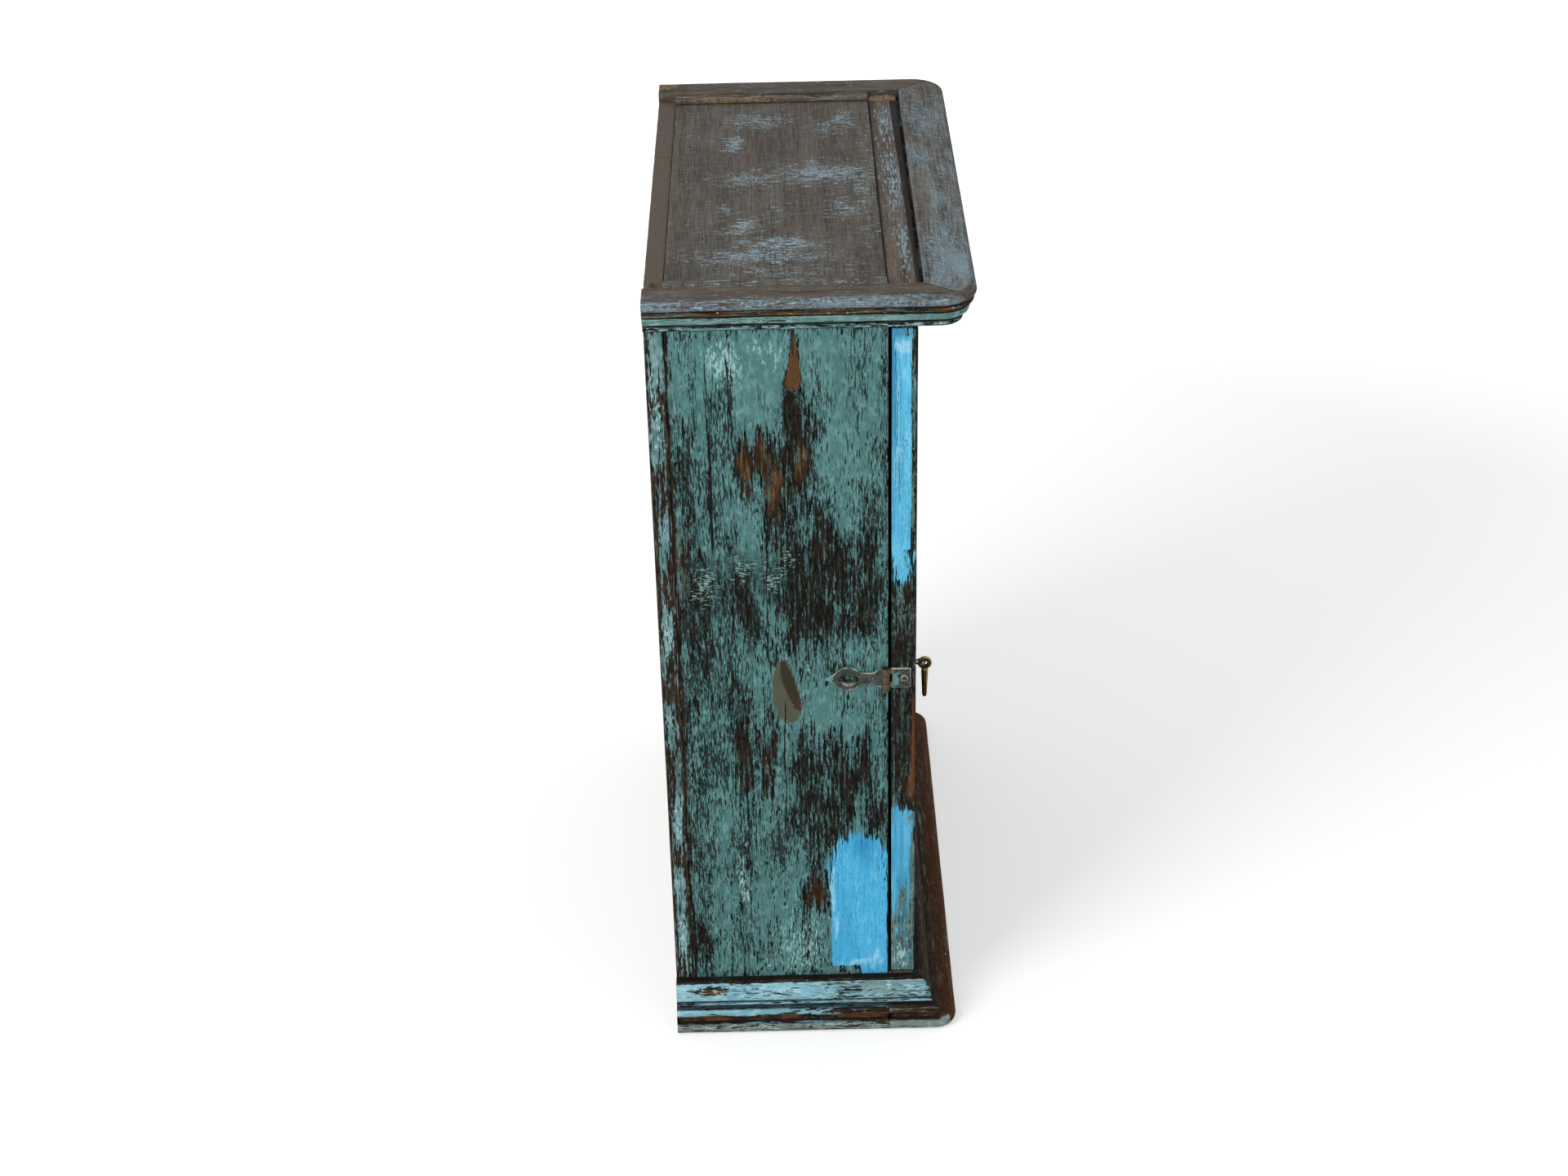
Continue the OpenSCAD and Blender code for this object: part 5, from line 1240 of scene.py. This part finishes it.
make_piece("riveted_hasp_leaf", points, faces, iron, "hasp_leaf", {
    "worn": np.clip(rubbed - 0.6 * spot(y, z, (rivet_y, hasp_z), (6, 6)), 0, 1), "bronze": y > -65.2,
    "paint": 0.85 * spot(y, z, (-68.6, 377), (3.6, 8)) * (x < -238.8)})

dome = bow((0, 0), (4.0, 1.8), 90, 0, 7)[1:]
profile = np.concatenate([[(0.25, 1.8)], dome, [(3.6, 0.0), (1.55, -0.05), (1.55, -1.45)]])
points, faces = skin(lathe(profile[:, 0], -profile[:, 1], (-239.0, rivet_y, hasp_z), axis=0))
away = np.hypot(points[:, 1] - rivet_y, points[:, 2] - hasp_z)
make_piece("domed_hasp_rivet", points, faces, iron, "hasp_rivet",
           {"worn": 0.9 * np.exp(-((away - 2.9) / 0.6) ** 2)})

bronze = metal("worn bronze", ("#17110a", "#3c2f1a", "#6b5932"), 175, 0.7, 0.36, "#a58c52")
points, faces = skin(lathe([1.6, 2.4, 2.8, 1.18, 1.18, 2.8, 2.4, 1.6],
                           [366.2, 366.4, 366.95, 367.0, 389.0, 389.05, 389.6, 389.8], (hasp_x, hasp_y, 0)))
make_piece("headed_hasp_pin", points, faces, bronze, "hasp_pin", {"worn": np.full(len(points), 0.3)})

staple_at, lobe_r, tip_at, neck_h, flare_h = 32.5, 11.8, 52.5, 5.6, 9.4
t = np.linspace(0, 1, 16)
neck = np.where(t < 0.5, flare_h - neck_h, lobe_r * 0.5 - neck_h) * (1 + np.cos(2 * np.pi * t)) / 2
neck = np.stack([3.0 + (staple_at - lobe_r * 0.86 - 3.0) * t, neck_h + neck], 1)
upper = np.concatenate([neck, bow((staple_at, 0), (lobe_r, lobe_r), 150, 62, 14)[1:],
                        [(41.4, 8.2), (45.5, 4.4), (49, 2.2), (tip_at - 0.8, 0.9), (tip_at, 0)]])
outline = np.concatenate([upper, (upper * [1, -1])[-2::-1]])
slot = np.concatenate([bow((5.6, 0), (2.7, 2.7), -90, 90, 10), bow((-5.6, 0), (2.7, 2.7), 90, 270, 10)])
sheet, faces = plate(outline, [slot + [staple_at, 0]], sheet_t)
away = np.hypot(sheet[:, 0] - staple_at, sheet[:, 1])
rise = 0.7 * np.exp(-((away - 8.8) / 1.8) ** 2) + 0.35 * np.clip(rim_of(sheet[:, :2], outline, 1.6), 0, 1)
rise = (rise + 0.15 * rough(sheet / [4, 4, 9], 173)) * (sheet[:, 2] > 0)
strap = join(-238.0 - sheet_t / 2 - sheet[:, 2] - rise, hasp_y + sheet[:, 0], hasp_z + sheet[:, 1])
tongue = 11 / 3 - 0.25
points, faces = together([(strap, faces), knuckle(hasp_z - tongue, hasp_z + tongue, 3.35),
                          wrap(hasp_z - tongue + 0.3, hasp_z + tongue - 0.3, hasp_y + 4.4, 0.5)])
u, v = points[:, 1] - hasp_y, points[:, 2] - hasp_z
rim = np.clip(rim_of(np.stack([u, v], 1), outline, 1.0), 0, 1)
make_piece("pointed_hasp_strap", points, faces, iron, "hasp_strap",
           {"worn": np.clip(0.05 + 0.5 * rough(points / 3.2, 176) + 0.75 * rim * (u > 4), 0, 1),
            "bronze": u < 3.6,
            "paint": 0.95 * spot(u, v, (50, 0), (4.5, 4.5)) + 0.4 * spot(u, v, (10, 3), (5, 4))})


# Pull
# A split wire through the stile, bent over inside, with an eye outside. A cast bronze drop hangs
# from it: a flat ring head and a tapered stem, dark with gold where hands have rubbed the ring's
# rim, and gold painted down the front half of the stem as a highlight.
pull_x, pull_y, pull_z = -215.5, -95.35, 379.0
loop_r, cotter_r = 4.0, 0.9
legs = []
for side in (-1, 1):
    bend = np.array([(0.8, pull_y + 2 * loop_r - 0.6, 0), (0.8, -75, 0), (0.85, -66.0, 0.3),
                     (1.4, -64.9, 0.7), (3.5, -64.7, 0.9), (9.0, -64.75, 0.9)])
    legs.append(skin(wire(bend * [side, 1, 1] + [pull_x, 0, pull_z], rounded_tips(0.78, 6), 10)))
angle, inner = (np.linspace(0, 2 * np.pi, count, endpoint=False) for count in (36, 12))
reach = loop_r + cotter_r * np.cos(inner)
eye = join(pull_x + reach * np.sin(angle)[:, None], pull_y + loop_r - reach * np.cos(angle)[:, None],
           pull_z + cotter_r * np.sin(inner))
wire_metal = metal("pale wire", ("#3a3426", "#7d755c", "#b3aa8c"), 177, rough_low=0.28, edge="#cfc6a6")
points, faces = together([skin(eye, ended=False)] + legs)
make_piece("split_pull_cotter", points, faces, wire_metal, "pull_cotter", {"worn": np.full(len(points), 0.3)})

head_r, bore_r, head_half, head_z = 6.2, 2.25, 1.5, pull_z - 1.0
section = soften([(bore_r, -1.2), (bore_r + 0.9, -head_half), (head_r - 0.7, -head_half), (head_r, -0.7),
                  (head_r, 0.7), (head_r - 0.7, head_half), (bore_r + 0.9, head_half), (bore_r, 1.2)],
                 0.25, 1.0)
around = np.linspace(0, 2 * np.pi, 40, endpoint=False)[:, None]
out, across = section.T
head = join(pull_x + across, pull_y + out * np.cos(around), head_z + out * np.sin(around))
stem = lathe(1.13 * np.array([2.2, 2.5, 2.7, 2.65, 2.55, 2.4, 2.25, 2.1, 1.98, 1.9, 1.6, 1.0, 0.4]),
             [-4.9, -6.6, -8.5, -11, -14, -18, -22, -26, -30, -33, -34.8, -35.7, -36.0],
             (pull_x, pull_y, pull_z))
points, faces = together([skin(head, ended=False), skin(stem)])
x, y, z = points.T
rubbed = ramp(np.hypot(y - pull_y, z - head_z), 4.6, 5.8)
# The stem's front half, towards -Y, gets the rubbed gold too: a painted highlight down that side.
make_piece("ringed_pull_drop", points, faces, bronze, "pull_drop",
           {"worn": np.where(z > head_z - 6, rubbed, 0.15) + 0.6 * (y < pull_y - 1.4) * (z < head_z - 6)})


# Floor, light and camera
# A pale floor that keeps the soft shadow, one broad soft lamp from the camera's left and above, a
# plain world light, and the camera at the photograph's place and lens.
scene = bpy.context.scene
floor_mesh = bpy.data.meshes.new("floor")
floor_mesh.from_pydata([(-40, -40, 0), (40, -40, 0), (40, 40, 0), (-40, 40, 0)], [], [(0, 1, 2, 3)])
floor = bpy.data.objects.new("floor", floor_mesh)
scene.collection.objects.link(floor)
floor_look = bpy.data.materials.new("pale floor")
floor_look.use_nodes = True
tree = floor_look.node_tree
base = tree.nodes["Principled BSDF"]
feed(tree, base.inputs, {"Base Color": (0.75, 0.75, 0.75, 1), "Roughness": 0.9, "Specular IOR Level": 0.0})
place = shader(tree, "TexCoord", {}).outputs["Object"]
away = shader(tree, "VectorMath", {0: place}, operation="LENGTH").outputs["Value"]
brighter = shader(tree, "MapRange",
                  {"Value": away, "From Min": 1.2, "From Max": 3.2, "To Min": 0.42, "To Max": 1.0})
seen = shader(tree, "LightPath", {}).outputs["Is Camera Ray"]
bright = shader(tree, "Math", {0: seen, 1: brighter.outputs[0]}, operation="MULTIPLY")
glow = shader(tree, "Emission", {"Strength": bright.outputs[0]})
both = shader(tree, "AddShader", {0: base.outputs[0], 1: glow.outputs[0]})
feed(tree, tree.nodes["Material Output"].inputs, {"Surface": both.outputs[0]})
floor_mesh.materials.append(floor_look)

lamp = bpy.data.lights.new("soft lamp", "AREA")
lamp.shape, lamp.size, lamp.size_y, lamp.energy = "RECTANGLE", 2.4, 2.4, 195
lamp_at, lamp_to = np.array([-3.3, 3.7, 3.2]), np.array([0, 0, 0.35])
aim = (lamp_at - lamp_to) / np.linalg.norm(lamp_at - lamp_to)
side_way = np.cross([0, 0, 1], aim)
side_way /= np.linalg.norm(side_way)


def put(thing, ways, place):
    """Puts a lamp or a camera at a place, with its own x, y and z along three ways."""
    placed = bpy.data.objects.new(thing.name, thing)
    placed.matrix_world = Matrix(np.vstack([np.column_stack([*ways, place]), [0, 0, 0, 1]]).tolist())
    scene.collection.objects.link(placed)
    return placed


put(lamp, (side_way, np.cross(aim, side_way), aim), lamp_at)

world = bpy.data.worlds.new("plain light")
scene.world = world
world.use_nodes = True
tree = world.node_tree
rays = shader(tree, "LightPath", {}).outputs
seen = rays["Is Camera Ray"]
for other in ("Is Transmission Ray", "Is Glossy Ray"):
    seen = shader(tree, "Math", {0: seen, 1: rays[other]}, operation="MAXIMUM").outputs[0]
level = shader(tree, "MapRange", {"Value": seen, "To Min": 0.62, "To Max": 1.0})
feed(tree, tree.nodes["Background"].inputs, {"Color": (1, 1, 1, 1), "Strength": level.outputs[0]})

lens = bpy.data.cameras.new("camera")
lens.lens, lens.sensor_fit, lens.sensor_width = 60.06, "HORIZONTAL", 36
right, down, forward = np.array([(-0.010253, -0.999748, -0.019946), (-0.514259, 0.022379, -0.857343),
                                 (0.857574, 0.001467, -0.514359)])
scene.camera = put(lens, (right, -down, -forward), (-2.138321, 0.022568, 1.610292))
scene.view_settings.view_transform = "Standard"
